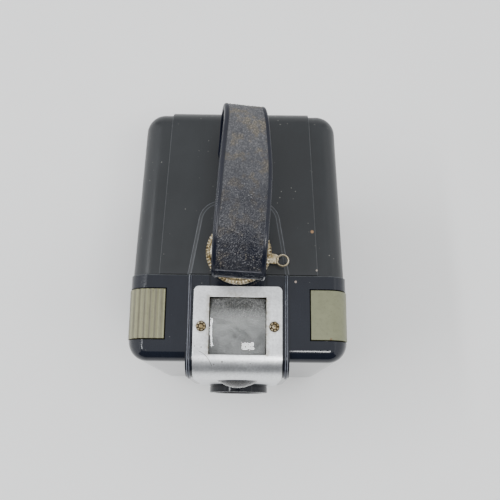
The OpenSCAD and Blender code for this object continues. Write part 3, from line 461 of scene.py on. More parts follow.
def steel(name, color=(0.6, 0.59, 0.57), rough=0.35):
    """Plain metal with faint clouding and drawn lines along x."""
    s = Shader(name, color, rough, 1.0)
    cloud = s.noise(300, 4)
    s.color(s.mix(cloud, *shades(color, 0.7, 1)))
    s.roughness(s.span(cloud, 0.3, 0.7, rough * 0.8, rough * 1.3))
    s.bump(s.noise(2400, 2, 0.5, stretch=(0.1, 1, 1)), 0.00001, 0.5)
    return s.material


def lacquer(name, color=(0.02, 0.02, 0.022), rough=0.6):
    """Matt black paint with uneven sheen."""
    s = Shader(name, color, rough)
    cloud = s.noise(180, 4)
    s.color(s.mix(cloud, *shades(color, 0.7, 1.6)))
    s.roughness(s.span(cloud, 0.3, 0.7, rough * 0.85, min(1, rough * 1.2)))
    s.bump(s.noise(1600, 3), 0.00003, 0.6)
    return s.material


def glass(name, color, rough=0.012, transmission=1.0, dust=None):
    """Glass; dust is the colour of the film on the square finder lens, which also gets a dark rim."""
    s = Shader(name, color, rough, 0.0, Transmission_Weight=transmission, IOR=1.5)
    haze = s.noise(160, 5, 0.65)
    s.roughness(s.span(haze, 0.5, 0.8, rough, rough + 0.015))
    if dust:
        swirl = s.noise(70, 6, 0.6, distortion=2.2)
        film = s.span(swirl, 0.4, 0.72, 0.03, 0.2)
        grit = s.span(s.noise(1500, 3, 0.8), 0.54, 0.6, 0, 0.35)
        grit = s.times(grit, s.span(s.y, -0.042, -0.032))
        film = s.plus(film, grit)
        shade = s.times(s.span(s.y, -0.0395, -0.0335),
                       s.span(s.noise(1100, 4, 0.7), 0.36, 0.62, 0.5, 0.85))
        film = s.plus(film, s.times(shade, 0.3))
        tint = s.mix(shade, s.mix(film, color, dust), (0.02, 0.02, 0.018))
        half = (WINDOW_HALF - 0.15) * MM
        out = s.most(s.size(s.x), s.size(s.less(s.y, WINDOW_Y * MM)))
        rim = s.span(out, half - 0.00025, half - 0.0001)
        tint = s.mix(rim, tint, (0.045, 0.038, 0.022))
        film = s.most(film, rim)
        s.color(tint)
        s.surface(Transmission_Weight=s.span(film, 0, 1, 1, 0))
    return s.material


def mirror(name):
    """Old mirror with dull spots."""
    s = Shader(name, (0.7, 0.72, 0.7), 0.06, 1.0)
    spots = s.noise(240, 6, 0.7)
    s.color(s.ramp(spots, [(0.3, (0.62, 0.64, 0.62)), (0.62, (0.5, 0.52, 0.5)), (0.75, (0.28, 0.28, 0.26))]))
    s.roughness(s.span(spots, 0.4, 0.75, 0.05, 0.4))
    return s.material


# ---------------------------------------------------------------- mesh helpers
def copy_of(node, bevel):
    """New piece with a CAD node's shape, with broken edges and clean shading."""
    source = frame["nodes"][node]
    mesh = source.data.copy()
    mesh.name = node + "_visual"
    piece = bpy.data.objects.new(node + "_visual", mesh)
    bpy.context.scene.collection.objects.link(piece)
    bm = bmesh.new()
    bm.from_mesh(mesh)
    bmesh.ops.remove_doubles(bm, verts=bm.verts, dist=1e-6)
    bmesh.ops.dissolve_limit(bm, angle_limit=math.radians(0.5), verts=bm.verts, edges=bm.edges)
    bm.to_mesh(mesh)
    bm.free()
    finish_mesh(piece, bevel, 35)
    return piece


def finish_mesh(piece, bevel, angle):
    """Narrow bevels on sharp edges, then smooth shading with weighted normals."""
    mesh = piece.data
    mesh.shade_smooth()
    if bevel:
        modifier = piece.modifiers.new("edges", "BEVEL")
        modifier.width = bevel
        modifier.segments = 2
        modifier.limit_method = "ANGLE"
        modifier.angle_limit = math.radians(angle)
        modifier.use_clamp_overlap = True
        apply_modifiers(piece)
    piece.data.set_sharp_from_angle(angle=math.radians(angle))
    modifier = piece.modifiers.new("normals", "WEIGHTED_NORMAL")
    modifier.keep_sharp = True
    apply_modifiers(piece)


def apply_modifiers(piece):
    """Writes the modifiers' result into the piece's mesh."""
    depsgraph = bpy.context.evaluated_depsgraph_get()
    depsgraph.update()
    mesh = bpy.data.meshes.new_from_object(piece.evaluated_get(depsgraph), depsgraph=depsgraph)
    piece.modifiers.clear()
    old = piece.data
    piece.data = mesh
    bpy.data.meshes.remove(old)


def dress(piece, material):
    """Gives the whole piece one material."""
    piece.data.materials.clear()
    piece.data.materials.append(material)
    for polygon in piece.data.polygons:
        polygon.material_index = 0


# ---------------------------------------------------------------- solids
def put(name, bm):
    """New object from a bmesh."""
    mesh = bpy.data.meshes.new(name)
    bmesh.ops.recalc_face_normals(bm, faces=bm.faces)
    bm.to_mesh(mesh)
    bm.free()
    piece = bpy.data.objects.new(name, mesh)
    bpy.context.scene.collection.objects.link(piece)
    return piece


def round_box(name, corners, radius, keep_y, segments=14, brow=None):
    """Eight-cornered block with ball corners; the edges in the plane y = keep_y stay sharp.

    Corners are ordered low and high x, then y, then z. brow is the radius of the upper front edge.
    """
    bm = bmesh.new()
    steps = [math.pi / 2 * k / segments for k in range(segments + 1)] if radius else [0.0]
    for i, corner in enumerate(corners):
        side = Vector((1 if i & 4 else -1, 1 if i & 2 else -1, 1 if i & 1 else -1))
        flat = keep_y is not None and abs(corner[1] - keep_y) < 1e-6
        centre = Vector(corner) - radius * Vector((side.x, 0 if flat else side.y, side.z))
        for up in steps:
            for turn in ([0.0] if flat else steps):
                bend = radius
                if brow and side.y < 0 and side.z > 0 and not flat:
                    bend = radius + (brow - radius) * math.sin(turn) ** 2
                out = radius - bend + bend * math.cos(up)
                reach = Vector((out * math.cos(turn), out * math.sin(turn), radius - bend + bend * math.sin(up)))
                bm.verts.new((centre + Vector((reach.x * side.x, reach.y * side.y, reach.z * side.z))) * MM)
    bmesh.ops.remove_doubles(bm, verts=bm.verts, dist=1e-7)
    hull = bmesh.ops.convex_hull(bm, input=bm.verts, use_existing_faces=False)
    spare = [v for v in hull["geom_interior"] + hull["geom_unused"] if isinstance(v, bmesh.types.BMVert)]
    bmesh.ops.delete(bm, geom=list(set(spare)), context="VERTS")
    bmesh.ops.dissolve_limit(bm, angle_limit=math.radians(0.2), verts=bm.verts, edges=bm.edges)
    return put(name, bm)


def box_corners(lo, hi):
    """Corners of an upright box, in the order that round_box takes."""
    return [(x, y, z) for x in (lo[0], hi[0]) for y in (lo[1], hi[1]) for z in (lo[2], hi[2])]


def block(name, lo, hi, radius=0.0):
    return round_box(name, box_corners(lo, hi), radius, None, segments=4)


def axis_point(axis, q, a, b):
    """Point at q along an axis, with its two other coordinates."""
    return {"x": (q, a, b), "y": (a, q, b), "z": (a, b, q)}[axis]


def loft(name, rings):
    """Closed solid through rings of points, capped at both ends, in mm."""
    bm = bmesh.new()
    loops = [[bm.verts.new(Vector(p) * MM) for p in ring] for ring in rings]
    for a, b in zip(loops, loops[1:]):
        for i in range(len(a)):
            j = (i + 1) % len(a)
            bm.faces.new((a[i], b[i], b[j], a[j]))
    bm.faces.new(loops[0])
    bm.faces.new(loops[-1][::-1])
    return put(name, bm)


def arc(cx, cy, r, start, end, count):
    """Points of an arc, angles in degrees."""
    return [
        (cx + r * math.cos(math.radians(start + (end - start) * i / count)),
         cy + r * math.sin(math.radians(start + (end - start) * i / count)))
        for i in range(count + 1)
    ]


def prism(name, outline, axis, start, end):
    """Outline of two coordinates, extruded along an axis between two places, in mm."""
    bm = bmesh.new()
    rings = [[bm.verts.new(Vector(axis_point(axis, q, *p)) * MM) for p in outline] for q in (start, end)]
    bm.faces.new(rings[0])
    bm.faces.new(rings[1][::-1])
    for i in range(len(outline)):
        j = (i + 1) % len(outline)
        bm.faces.new((rings[0][i], rings[1][i], rings[1][j], rings[0][j]))
    return put(name, bm)


def rod(name, axis, start, end, centre, r, count=64):
    """Round bar along an axis; centre holds the two other coordinates."""
    outline = arc(*centre, r, 0, 360, count)[:-1]
    return loft(name, [[axis_point(axis, q, *p) for p in outline] for q in (start, end)])


def join_shape(piece, tool, operation):
    """Exact boolean of a piece with a tool, which goes."""
    modifier = piece.modifiers.new("join", "BOOLEAN")
    modifier.operation = operation
    modifier.solver = "EXACT"
    modifier.object = tool
    apply_modifiers(piece)
    drop(tool)


def drop(tool):
    mesh = tool.data
    bpy.data.objects.remove(tool)
    bpy.data.meshes.remove(mesh)


def add(piece, *tools):
    for tool in tools:
        join_shape(piece, tool, "UNION")


def cut(piece, *tools):
    for tool in tools:
        join_shape(piece, tool, "DIFFERENCE")


def common(piece, tool):
    join_shape(piece, tool, "INTERSECT")


def tidy(piece):
    """Merges what the booleans left in pieces, so that bevels run cleanly."""
    bm = bmesh.new()
    bm.from_mesh(piece.data)
    bmesh.ops.remove_doubles(bm, verts=bm.verts, dist=2e-6)
    bmesh.ops.dissolve_degenerate(bm, edges=bm.edges, dist=2e-6)
    bmesh.ops.dissolve_limit(bm, angle_limit=math.radians(0.4), verts=bm.verts, edges=bm.edges)
    bm.to_mesh(piece.data)
    bm.free()


# ---------------------------------------------------------------- shells
def side_profile(grow, y_end, z_low):
    """Boss seen from the side: front, bend and top, as (y, z)."""
    y0, z1, r = BOSS_Y - grow, BAND + grow, BEND + grow
    return [(y_end, z_low), (y0, z_low)] + arc(y0 + r, z1 - r, r, 180, 90, 16) + [(y_end, z1)]


def front_outline(half, z_top):
    """Boss seen from the front: straight sides over a round end about the lens, as (x, z)."""
    return [(half, z_top), (-half, z_top)] + arc(0, LENS_Z, half, 180, 360, 40)


def ridge(side, y_end):
    """Half-round rib along one edge of the boss, over the top and round the bend, with a ball end."""
    half_w = 0.7
    x = side * (BOSS_X - half_w - 0.5)
    r = BEND + RIDGE - BAND - half_w
    y0, z1 = BOSS_Y - (RIDGE - BAND) + half_w, RIDGE - half_w
    path = [(y_end, z1)] + arc(y0 + r, z1 - r, r, 90, 180, 14) + [(y0, TOP - 11.2)]
    rings = []

    def section(place, tangent, shrink, slide):
        out_way = Vector((tangent.y, -tangent.x))
        ring = []
        for k in range(16):
            angle = 2 * math.pi * k / 16
            across, out = math.sin(angle) * half_w * shrink, math.cos(angle) * half_w
            out *= shrink if out > 0 else 2.4
            ring.append((x + across, place[0] + out_way.x * out + tangent.x * slide,
                         place[1] + out_way.y * out + tangent.y * slide))
        return ring

    for i, place in enumerate(path):
        before, after = path[max(i - 1, 0)], path[min(i + 1, len(path) - 1)]
        tangent = Vector((after[0] - before[0], after[1] - before[1])).normalized()
        rings.append(section(place, tangent, 1, 0))
    for k in range(1, 5):
        turn = math.radians(22 * k)
        rings.append(section(path[-1], tangent, math.cos(turn), math.sin(turn) * half_w))
    return loft("ridge", rings)


def build_front_shell():
    """Hollow front shell with its boss, ridges, tongue, lugs and openings."""
    y_cut = PART + OVER
    shell = round_box("front_shell_visual", box_corners((-BODY_X, FRONT, SHELL_Z), (BODY_X, y_cut, TOP)), EDGE, y_cut,
                      brow=BROW)
    boss = prism("boss", front_outline(BOSS_X, BAND + 1), "y", BOSS_Y - 1, y_cut)
    common(boss, prism("boss_side", side_profile(0, y_cut + 1, 20), "x", -BOSS_X - 1, BOSS_X + 1))
    add(shell, boss, ridge(-1, y_cut), ridge(1, y_cut))
    # Cavity and the pocket behind the boss
    cavity = round_box("cavity", box_corners((-BODY_X + WALL, FRONT + WALL, SHELL_Z + WALL),
                                             (BODY_X - WALL, y_cut + 2, TOP - WALL)), EDGE - WALL, y_cut + 2)
    pocket = prism("pocket", front_outline(BOSS_X - WALL, BAND), "y", BOSS_Y + WALL - 1, FRONT + WALL + 6)
    common(pocket, prism("pocket_side", side_profile(-WALL, FRONT + WALL + 5, 30), "x", -BOSS_X, BOSS_X))
    cut(shell, cavity, pocket)
    cut(shell, block("parting", (-60, PART, -5), (60, PART + 10, 130)))
    add(shell, tongue())
    for x in (-FEET_X, FEET_X):
        add(shell, rod("foot", "z", 0, SHELL_Z + 1, (x, FRONT + 9), FOOT_R, count=40))
    add(shell, block("pad", (-26, FRONT + 12, 0), (26, PART - 5, SHELL_Z + 0.5), 0.4))
    for side in (-1, 1):
        x0, x1 = sorted((side * 12.8, side * 25))
        add(shell, rod("lug", "x", x0, x1, (PART, HINGE_Z), LUG_R, count=40))
    # Narrow dark gap round the faceplate
    for side in (-1, 1):
        x0, x1 = sorted((side * 17.9, side * 18.4))
        gap = prism("plate_gap", side_profile(1.2, FRONT + 30.6, TOP - 30), "x", x0, x1)
        cut(gap, prism("gap_floor", side_profile(-0.5, FRONT + 40, TOP - 40), "x", x0 - 1, x1 + 1))
        cut(shell, gap)
    # Openings
    cut(shell, block("recess", (-11.8, PART - 4.2, TOP - 0.4), (11.8, PART + 1, RIDGE + 1)))
    frame_half = WINDOW_HALF + 0.3
    cut(shell, block("window", (-frame_half, WINDOW_Y - frame_half, TOP - WALL - 4),
                     (frame_half, WINDOW_Y + frame_half, TOP + 4)))
    cut(shell, rod("objective", "y", BOSS_Y - 1, BOSS_Y + WALL + 2, (0, OBJECTIVE_Z), OBJECTIVE_R + 0.2))
    cut(shell, rod("lens_hole", "y", BOSS_Y - 1, BOSS_Y + WALL + 2, (0, LENS_Z), HOOD_R - 3))
    for node, side, travel in (("release_button", -1, BUTTON_TRAVEL), ("time_lever", 1, 0)):
        low, high = (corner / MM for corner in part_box(node))
        gap = 0.5
        x_in = min(abs(low.x), abs(high.x)) - gap
        x0, x1 = sorted((side * x_in, side * (BODY_X + 1)))
        z0 = TOP - BUTTON_H - gap - travel
        cut(shell, block("button_hole", (x0, low.y - gap, z0), (x1, high.y + gap, TOP + 2)))
    cut(shell, rod("bush_hole", "x", -BODY_X - 1, -BODY_X + WALL + 1, (BUSH_Y, BUSH_Z), BUSH_R, count=48))
    cut(shell, rod("relief", "x", -12.6, 12.6, (PART, HINGE_Z), LUG_ROOM, count=40))
    for x0, x1 in ((-46, -25.1), (25.1, 46)):
        cut(shell, block("rebate", (x0, PART - 1.8, -1), (x1, PART + 1, HINGE_Z + 0.3)))
    cut(shell, rod("pin_hole", "x", -26, 26, (PART, HINGE_Z), 1, count=32))
    return shell


def square_outline(x1, z0, z1, r):
    """Upright square with round corners, as (x, z)."""
    return (arc(x1 - r, z1 - r, r, 0, 90, 8) + arc(-x1 + r, z1 - r, r, 90, 180, 8)
            + arc(-x1 + r, z0 + r, r, 180, 270, 8) + arc(x1 - r, z0 + r, r, 270, 360, 8))


def tongue():
    """Tongue that the back shell closes over, with its root against the shell's wall."""
    gap, thick, z0 = 0.3, 1, 12
    z1 = BACK_TOP - WALL - gap
    x1 = BACK_X - WALL - gap - 0.15
    r = EDGE - WALL - gap
    y0, y1 = PART - 4, PART + 3
    piece = prism("tongue", square_outline(x1, z0 - 20, z1, r), "y", y0, y1)
    root = square_outline(BODY_X - WALL + 0.3, z0 - 20, TOP - WALL + 0.3, r)
    add(piece, prism("root", root, "y", y0 + 0.01, PART - 0.6))
    cut(piece, prism("inside", square_outline(x1 - thick, z0 - 21, z1 - thick, r - thick), "y", y0 - 1, y1 + 1))
    cut(piece, block("low", (-60, y0 - 2, -20), (60, y1 + 2, z0)))
    cut(piece, block("stud_gap", (-6, PART + 1, z1 - 6), (6, y1 + 1, z1 + 1)))
    return piece


def back_half(y):
    """Half width of the back shell, drawn in towards the rear."""
    return BACK_X - (y - PART) * BACK_DRAFT


def back_form(grow, y_start, name="back_form"):
    """Rounded, drafted block of the back shell, grown by a distance."""
    y1 = REAR - PANEL + grow
    corners = [(s * (back_half(y) + grow), y, z) for s in (-1, 1) for y in (y_start, y1)
               for z in (SHELL_Z - grow, BACK_TOP + grow)]
    return round_box(name, corners, EDGE + grow, y_start)


def build_back_shell():
    """Hollow back shell with its raised panel, latch boss, lugs and openings."""
    y0 = PART + 0.2
    y_cut = y0 - OVER
    shell = back_form(0, y_cut, "back_shell_visual")
    panel = back_form(PANEL, y_cut)
    slope = (PANEL_X - PANEL_REAR_X) / (REAR + 1 - y0)
    a, b = PANEL_X + slope * OVER, PANEL_REAR_X
    outline = [(-a, y_cut - 1e-3), (a, y_cut - 1e-3), (b, REAR + 1), (-b, REAR + 1)]
    common(panel, prism("panel_side", outline, "z", -3, TOP + 6))
    add(shell, panel, arch(y_cut))
    for x in (-FEET_X, FEET_X):
        add(shell, rod("foot", "z", 0, SHELL_Z + 1, (x, REAR - 12), FOOT_R, count=40))
    cut(shell, back_form(-WALL, y_cut - 1, "cavity"))
    cut(shell, block("parting", (-60, y0 - 10, -5), (60, y0, 130)))
    add(shell, rod("lug", "x", -12.4, 12.4, (PART, HINGE_Z), LUG_R, count=40))
    add(shell, block("lug_root", (-12.4, PART + 0.9, SHELL_Z), (12.4, PART + 5, SHELL_Z + WALL)))
    for x0, x1 in ((-25.3, -12.4), (12.4, 25.3)):
        cut(shell, rod("relief", "x", x0, x1, (PART, HINGE_Z), LUG_ROOM, count=40))
    cut(shell, block("under", (-33.6, PART - 1, -1), (33.6, PART + 3.2, SHELL_Z)))
    cut(shell, rod("pin_hole", "x", -13.4, 13.4, (PART, HINGE_Z), 1.06, count=32))
    cut(shell, rod("stud_hole", "z", BACK_TOP - WALL - 1, BACK_TOP + 4, (0, DISC_Y), 2.5, count=40))
    cut(shell, rod("peep", "y", REAR - WALL - 4, REAR + 1, (0, LENS_Z), 5.2))
    cut(shell, rod("peep_seat", "y", REAR - WALL - 4, REAR - 1.6, (0, LENS_Z), 7))
    for x in (-STRAP_RIVET_X, STRAP_RIVET_X):
        cut(shell, rod("rivet_hole", "z", BACK_TOP - WALL - 1, BACK_TOP + 4, (x, STRAP_FOOT_Y), 1.36, count=32))
    return shell


def arch(y_start):
    """Round-ended boss under the latch disc: upright edge, then a slope with soft shoulders."""
    slope = 1.6
    rings = []
    for inset, z in ((0, BACK_TOP - 1), (0, BAND + 0.1), (0.25, BAND + 0.3), (1.0, RIDGE - 0.22),
                     (1.35, RIDGE - 0.08), (slope + 0.2, RIDGE)):
        r = ARCH_R - inset
        ring = [(BOSS_X - inset, y_start, z)]
        ring += [(x, y, z) for x, y in arc(ARCH_X, ARCH_Y, r, 9.5, 90, 14)]
        ring += [(x, y, z) for x, y in arc(-ARCH_X, ARCH_Y, r, 90, 170.5, 14)]
        ring += [(-BOSS_X + inset, y_start, z)]
        rings.append(ring)
    return loft("arch", rings)


# ---------------------------------------------------------------- strap
def bezier(p, t):
    """Point of a cubic curve through four points, at share t."""
    return tuple(
        p[0][k] * (1 - t) ** 3 + p[1][k] * 3 * t * (1 - t) ** 2 + p[2][k] * 3 * t * t * (1 - t) + p[3][k] * t ** 3
        for k in (0, 1)
    )


def smooth(low, high, value):
    """Soft step from 0 at low to 1 at high."""
    t = min(1.0, max(0.0, (value - low) / (high - low)))
    return t * t * (3 - 2 * t)


def strap_line():
    """Middle line of the strap in (y, z) mm from the stud end to the rear foot, and the length up to each point."""
    low, high = (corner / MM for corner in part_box("handle_strap"))
    front_y, back_y = low.y + STRAP / 2, high.y - STRAP / 2
    crest = high.z - STRAP / 2
    end_z = 120.8 + STRAP / 2
    foot_y, foot_z = back_y - 13, 118.6
    front_y -= 0.6
    back_y -= 2.0
    curves = [
        [(DISC_Y + 5.5, end_z), (DISC_Y + 2, end_z), (DISC_Y - 2, end_z), (DISC_Y - 4.5, end_z)],
        [(DISC_Y - 4.5, end_z), (front_y + 1.5, end_z), (front_y, end_z + 3), (front_y, end_z + 7)],
        [(front_y, end_z + 7), (front_y, end_z + 17), (front_y + 12, crest), (DISC_Y + 19, crest)],
        [(DISC_Y + 19, crest), (back_y - 17, crest), (back_y, crest - 4), (back_y, crest - 15)],
        [(back_y, crest - 15), (back_y, foot_z + 3), (back_y - 3, foot_z), (foot_y + 2, foot_z)],
        [(foot_y + 2, foot_z), (foot_y, foot_z), (foot_y - 3, foot_z), (foot_y - 5, foot_z)],
    ]
    points = [np.array(bezier(c, i / 60)) for c in curves for i in range(60)]
    points.append(np.array(curves[-1][-1]))
    points = np.array(points)
    reach = np.concatenate([[0], np.cumsum(np.linalg.norm(np.diff(points, axis=0), axis=1))])
    keep = np.concatenate([[True], np.diff(reach) > 1e-6])
    return points[keep], reach[keep]


def strap_section(half):
    """Closed section of the strap: (across, out, field share) with smooth rims beside a sunk field."""
    rim, sink, corner = 1.9, 0.28, 1.1
    top = STRAP / 2
    inner = half - rim
    points = []
    field_count = 58
    for k in range(field_count + 1):
        across = -inner + 2 * inner * k / field_count
        points.append((across, top - sink, 1.0))
    points += [(inner + 0.12, top - 0.12, 0.3), (inner + 0.35, top - 0.02, 0.0), (half - corner - 0.25, top, 0.0)]
    points += [(half - corner + corner * math.sin(a), top - corner + corner * math.cos(a), 0.0)
               for a in (math.radians(v) for v in (12, 30, 48, 66, 84))]
    points += [(half, 0.0, 0.0)]
    points += [(half - corner + corner * math.cos(a), -top + corner - corner * math.sin(a), 0.0)
               for a in (math.radians(v) for v in (8, 35, 62, 85))]
    under = 14
    points += [(half - corner - 0.4 - (2 * half - 2 * corner - 0.8) * k / under, -top, 0.0) for k in range(under + 1)]
    left = [(-a, o, f) for a, o, f in points[field_count + 1:] if o > -top + 1e-6]
    return points + left[::-1]


def build_strap():
    """Swept strap with its rims, sunk field and pebbles in the mesh."""
    line, reach = strap_line()
    total = reach[-1]
    wide, rear_wide = 21.0, 17.2
    # Lengths along the strap to the line across its lower end, and to where it turns under
    end_line, end_turn = 27.0, 19.5
    places = list(np.arange(0, 15, 0.5)) + list(np.arange(15, 31, 0.16)) + list(np.arange(31, total - 8, 0.3))
    places += list(np.linspace(total - 8, total, 28))
    bm = bmesh.new()
    share = bm.verts.layers.float.new("field")
    crown = bm.verts.layers.float.new("crown")
    # Share of the highlight painted along the lower edge and the cross line
    painted_highlight = bm.verts.layers.float.new("painted_highlight")
    loops = []
    for s in places:
        y, z = (float(np.interp(s, reach, line[:, k])) for k in (0, 1))
        ahead = [float(np.interp(min(s + 0.8, total), reach, line[:, k])) for k in (0, 1)]
        behind = [float(np.interp(max(s - 0.8, 0), reach, line[:, k])) for k in (0, 1)]
        tangent = Vector((0, ahead[0] - behind[0], ahead[1] - behind[1])).normalized()
        # The strap leans to one side and rolls a little, held at both ends
        lean = 0.3 + 2.4 * smooth(22, 75, s)
        lean *= 1 - smooth(total - 42, total - 10, s)
        yaw = math.radians(4.0) * smooth(12, 22, s) * (1 - smooth(60, 95, s))
        roll = math.radians(13) * smooth(30, 66, s) * (1 - smooth(total - 34, total - 12, s))
        sag = 1.2 * smooth(30, 60, s) * (1 - smooth(total - 60, total - 30, s))
        across = Vector((math.cos(yaw) * math.cos(roll), -math.sin(yaw), -math.sin(roll)))
        out = across.cross(tangent).normalized()
        across = tangent.cross(out).normalized()
        half = wide / 2 + (rear_wide - wide) / 2 * smooth(10, 46, y) * (1 if s > 40 else 0)
        if s < end_turn:
            half -= 1.5 * smooth(0, 4.5, end_turn - s)
        if s > total - 6:
            half -= 2.5 - math.sqrt(max(0.0, 2.5 ** 2 - max(0.0, s - (total - 2.5)) ** 2))
        centre = Vector((lean, y, z - sag))
        ring = []
        # Highlight painted along the lower edge, on faces that look forward and down, where the strap turns under
        facing = out.dot(Vector((0, -0.87, -0.5)))
        edge = smooth(0.975, 0.995, facing) if s < 60 else 0.0
        grain_on = smooth(end_line + 0.4, end_line + 1.0, s) * (1 - smooth(total - 16, total - 14, s))
        # Raised line across the strap at end_line, which also gets the painted highlight
        bar = math.exp(-((s - end_line) / 0.28) ** 2)
        for a, o, field in strap_section(half):
            point = centre + across * a + out * o
            if field:
                p = Vector((a, s, 0))
                cell = noise.voronoi(p * 1.25 + Vector((3.1, 0, 7)))[0]
                pebble = min(1.0, (cell[1] - cell[0]) * 2.2)
                rise = 0.32 * pebble * grain_on + 0.05 * noise.noise(p * 0.35)
                edge_fade = min(1.0, (half - 1.9 - abs(a)) / 0.5)
                point += out * field * (rise * max(0.0, edge_fade) + 0.1 * bar)
            vert = bm.verts.new(point * MM)
            vert[share] = field * grain_on
            vert[crown] = pebble if field else 0.0
            vert[painted_highlight] = max(edge, 0.7 * bar if field else 0.0) if o > 0 else 0.0
            ring.append(vert)
        loops.append(ring)
    for a, b in zip(loops, loops[1:]):
        for k in range(len(a)):
            j = (k + 1) % len(a)
            bm.faces.new((a[k], a[j], b[j], b[k]))
    bm.faces.new(loops[0][::-1])
    bm.faces.new(loops[-1])
    piece = put("handle_strap_visual", bm)
    cut(piece, rod("stud_hole", "z", 118, 126, (0, DISC_Y), 2.02, count=32))
    for x in (-STRAP_RIVET_X, STRAP_RIVET_X):
        cut(piece, rod("rivet_hole", "z", 115, 122, (x, STRAP_FOOT_Y), 1.32, count=24))
    return piece


# ---------------------------------------------------------------- turned parts
def turned(name, profile, axis, centre, count, wave=None):
    """Solid of revolution from a closed profile of (radius, place) in mm; wave shifts a point by angle."""
    bm = bmesh.new()
    loops = []
    for k in range(count):
        angle = 2 * math.pi * k / count
        ring = []
        for r, q in profile:
            if wave:
                r, q = wave(r, q, angle)
            a, b = centre[0] + r * math.cos(angle), centre[1] + r * math.sin(angle)
            ring.append(bm.verts.new(Vector(axis_point(axis, q, a, b)) * MM))
        loops.append(ring)
    n = len(profile)
    for k in range(count):
        a, b = loops[k], loops[(k + 1) % count]
        for i in range(n):
            j = (i + 1) % n
            bm.faces.new((a[i], a[j], b[j], b[i]))
    bmesh.ops.remove_doubles(bm, verts=bm.verts, dist=1e-7)
    bmesh.ops.dissolve_degenerate(bm, edges=bm.edges, dist=1e-7)
    return put(name, bm)


def build_latch_disc():
    """Domed disc with a serrated rim, a notch at the front, and a lever that ends in a small ring."""
    disc_z, disc_top, r_out, flange_z = 116.9, 119.6, 13.5, 115.8
    ball = 52
    dome = [(r, disc_top - ball + math.sqrt(ball ** 2 - r ** 2)) for r in np.linspace(2.56, 11.5, 26)]
    profile = dome + [(11.65, 118.0), (11.8, 117.9), (11.95, 118.0), (12.1, 118.45), (12.3, 118.6), (12.8, 118.5),
                      (13.2, 118.3), (13.4, 118.1), (r_out, 117.9), (r_out, 117.5), (r_out, 117.0),
                      (13.4, disc_z - 0.05), (13.4, flange_z + 0.1), (13.3, flange_z), (12.6, flange_z),
                      (12.5, flange_z + 0.1), (12.5, disc_z - 0.1), (12.3, disc_z), (2.56, disc_z)]

    def teeth(r, q, angle):
        share = (0.5 + 0.5 * math.cos(60 * angle)) ** 1.5
        if r > 13.15 and q > disc_z - 0.01:
            r -= 0.42 * share
        if r > 12.2 and q > 118:
            q -= 0.5 * share
        elif 3 < r < 11.6 and q > 117.9:
            p = Vector((r * math.cos(angle), r * math.sin(angle), 0))
            q += 0.05 * noise.noise(p * 1.7) - 0.1 * max(0.0, noise.noise(p * 2.6 + Vector((9, 2, 0))) - 0.25)
        return r, q

    disc = turned("latch_disc_visual", profile, "z", (0, DISC_Y), 480, teeth)
    cut(disc, block("notch", (-5.2, DISC_Y - r_out - 1, flange_z - 1), (5.2, DISC_Y - 8, disc_z - 0.12)))
    ring_x, tilt = 18.3, math.radians(-11)
    ring_profile = [(1.85 + 0.45 + 0.45 * math.cos(a), 117.7 + 0.8 * math.sin(a))
                    for a in (2 * math.pi * k / 14 for k in range(14))]
    centre = (ring_x * math.cos(tilt), DISC_Y + ring_x * math.sin(tilt))
    tab = prism("tab", [(12.4, -2), (14.2, -2), (15.6, -1.9), (16.6, -1.5), (16.6, 1.5), (15.6, 1.9), (14.2, 2),
                        (12.4, 2)], "z", disc_z + 0.02, disc_z + 1.05)
    tab.data.transform(Matrix.Translation((0, DISC_Y * MM, 0)) @ Matrix.Rotation(tilt, 4, "Z"))
    ring = turned("ring", ring_profile, "z", centre, 48)
    add(disc, tab, ring)
    return disc


def build_rivets():
    """Two drive rivets with a sunk middle and a notched crown."""
    top = 115.2
    profile = [(0.0, top + 0.36), (0.35, top + 0.38), (0.6, top + 0.3), (0.8, top + 0.12), (0.98, top + 0.14),
               (1.12, top + 0.5), (1.35, top + 0.68), (1.6, top + 0.66), (1.85, top + 0.45), (2.02, top + 0.2),
               (2.1, top + 0.02), (1.2, top + 0.01), (1.2, 114.5), (0.0, 114.5)]

    def notches(r, q, angle):
        if 1.0 < r < 1.95 and q > top + 0.3:
            q -= 0.3 * max(0.0, math.cos(7 * angle)) ** 3
        return r, q

    rivets = [turned("faceplate_rivets_visual", profile, "z", (x, RIVET_Y), 84, notches) for x in (-RIVET_X, RIVET_X)]
    return add_mesh(*rivets)


def add_mesh(first, *others):
    """Puts separate solids in one piece, without a boolean."""
    bm = bmesh.new()
    for piece in (first, *others):
        bm.from_mesh(piece.data)
    for piece in others:
        drop(piece)
    bm.to_mesh(first.data)
    bm.free()
    return first


def build_faceplate():
    """Bent plate with its window, lens openings and rivet holes."""
    half, y_end = PLATE_X, FRONT + 30.2
    plate = prism("faceplate_visual", side_profile(PLATE, y_end, LENS_Z - half - 0.5), "x", -half - 1, half + 1)
    cut(plate, prism("under", side_profile(0, y_end + 2, LENS_Z - half - 3), "x", -half - 3, half + 3))
    common(plate, prism("outline", front_outline(half, TOP + 4), "y", BOSS_Y - 3, y_end + 3))
    top = [(-half, BOSS_Y - 4), (half, BOSS_Y - 4)] + arc(half - 2, y_end - 2, 2, 0, 90, 8)
    top += arc(-half + 2, y_end - 2, 2, 90, 180, 8)
    common(plate, prism("corners", top, "z", 20, TOP + 6))
    w = WINDOW_HALF
    cut(plate, block("window", (-w, WINDOW_Y - w, TOP - 4), (w, WINDOW_Y + w, TOP + 4)))
    cut(plate, rod("objective", "y", BOSS_Y - 3, BOSS_Y + 1, (0, OBJECTIVE_Z), OBJECTIVE_R + 0.1))
    cut(plate, rod("hood", "y", BOSS_Y - 3, BOSS_Y + 1, (0, LENS_Z), HOOD_R))
    for x in (-RIVET_X, RIVET_X):
        cut(plate, rod("rivet_hole", "z", BAND - 1, BAND + 3, (x, RIVET_Y), 1.2, count=32))
    return plate


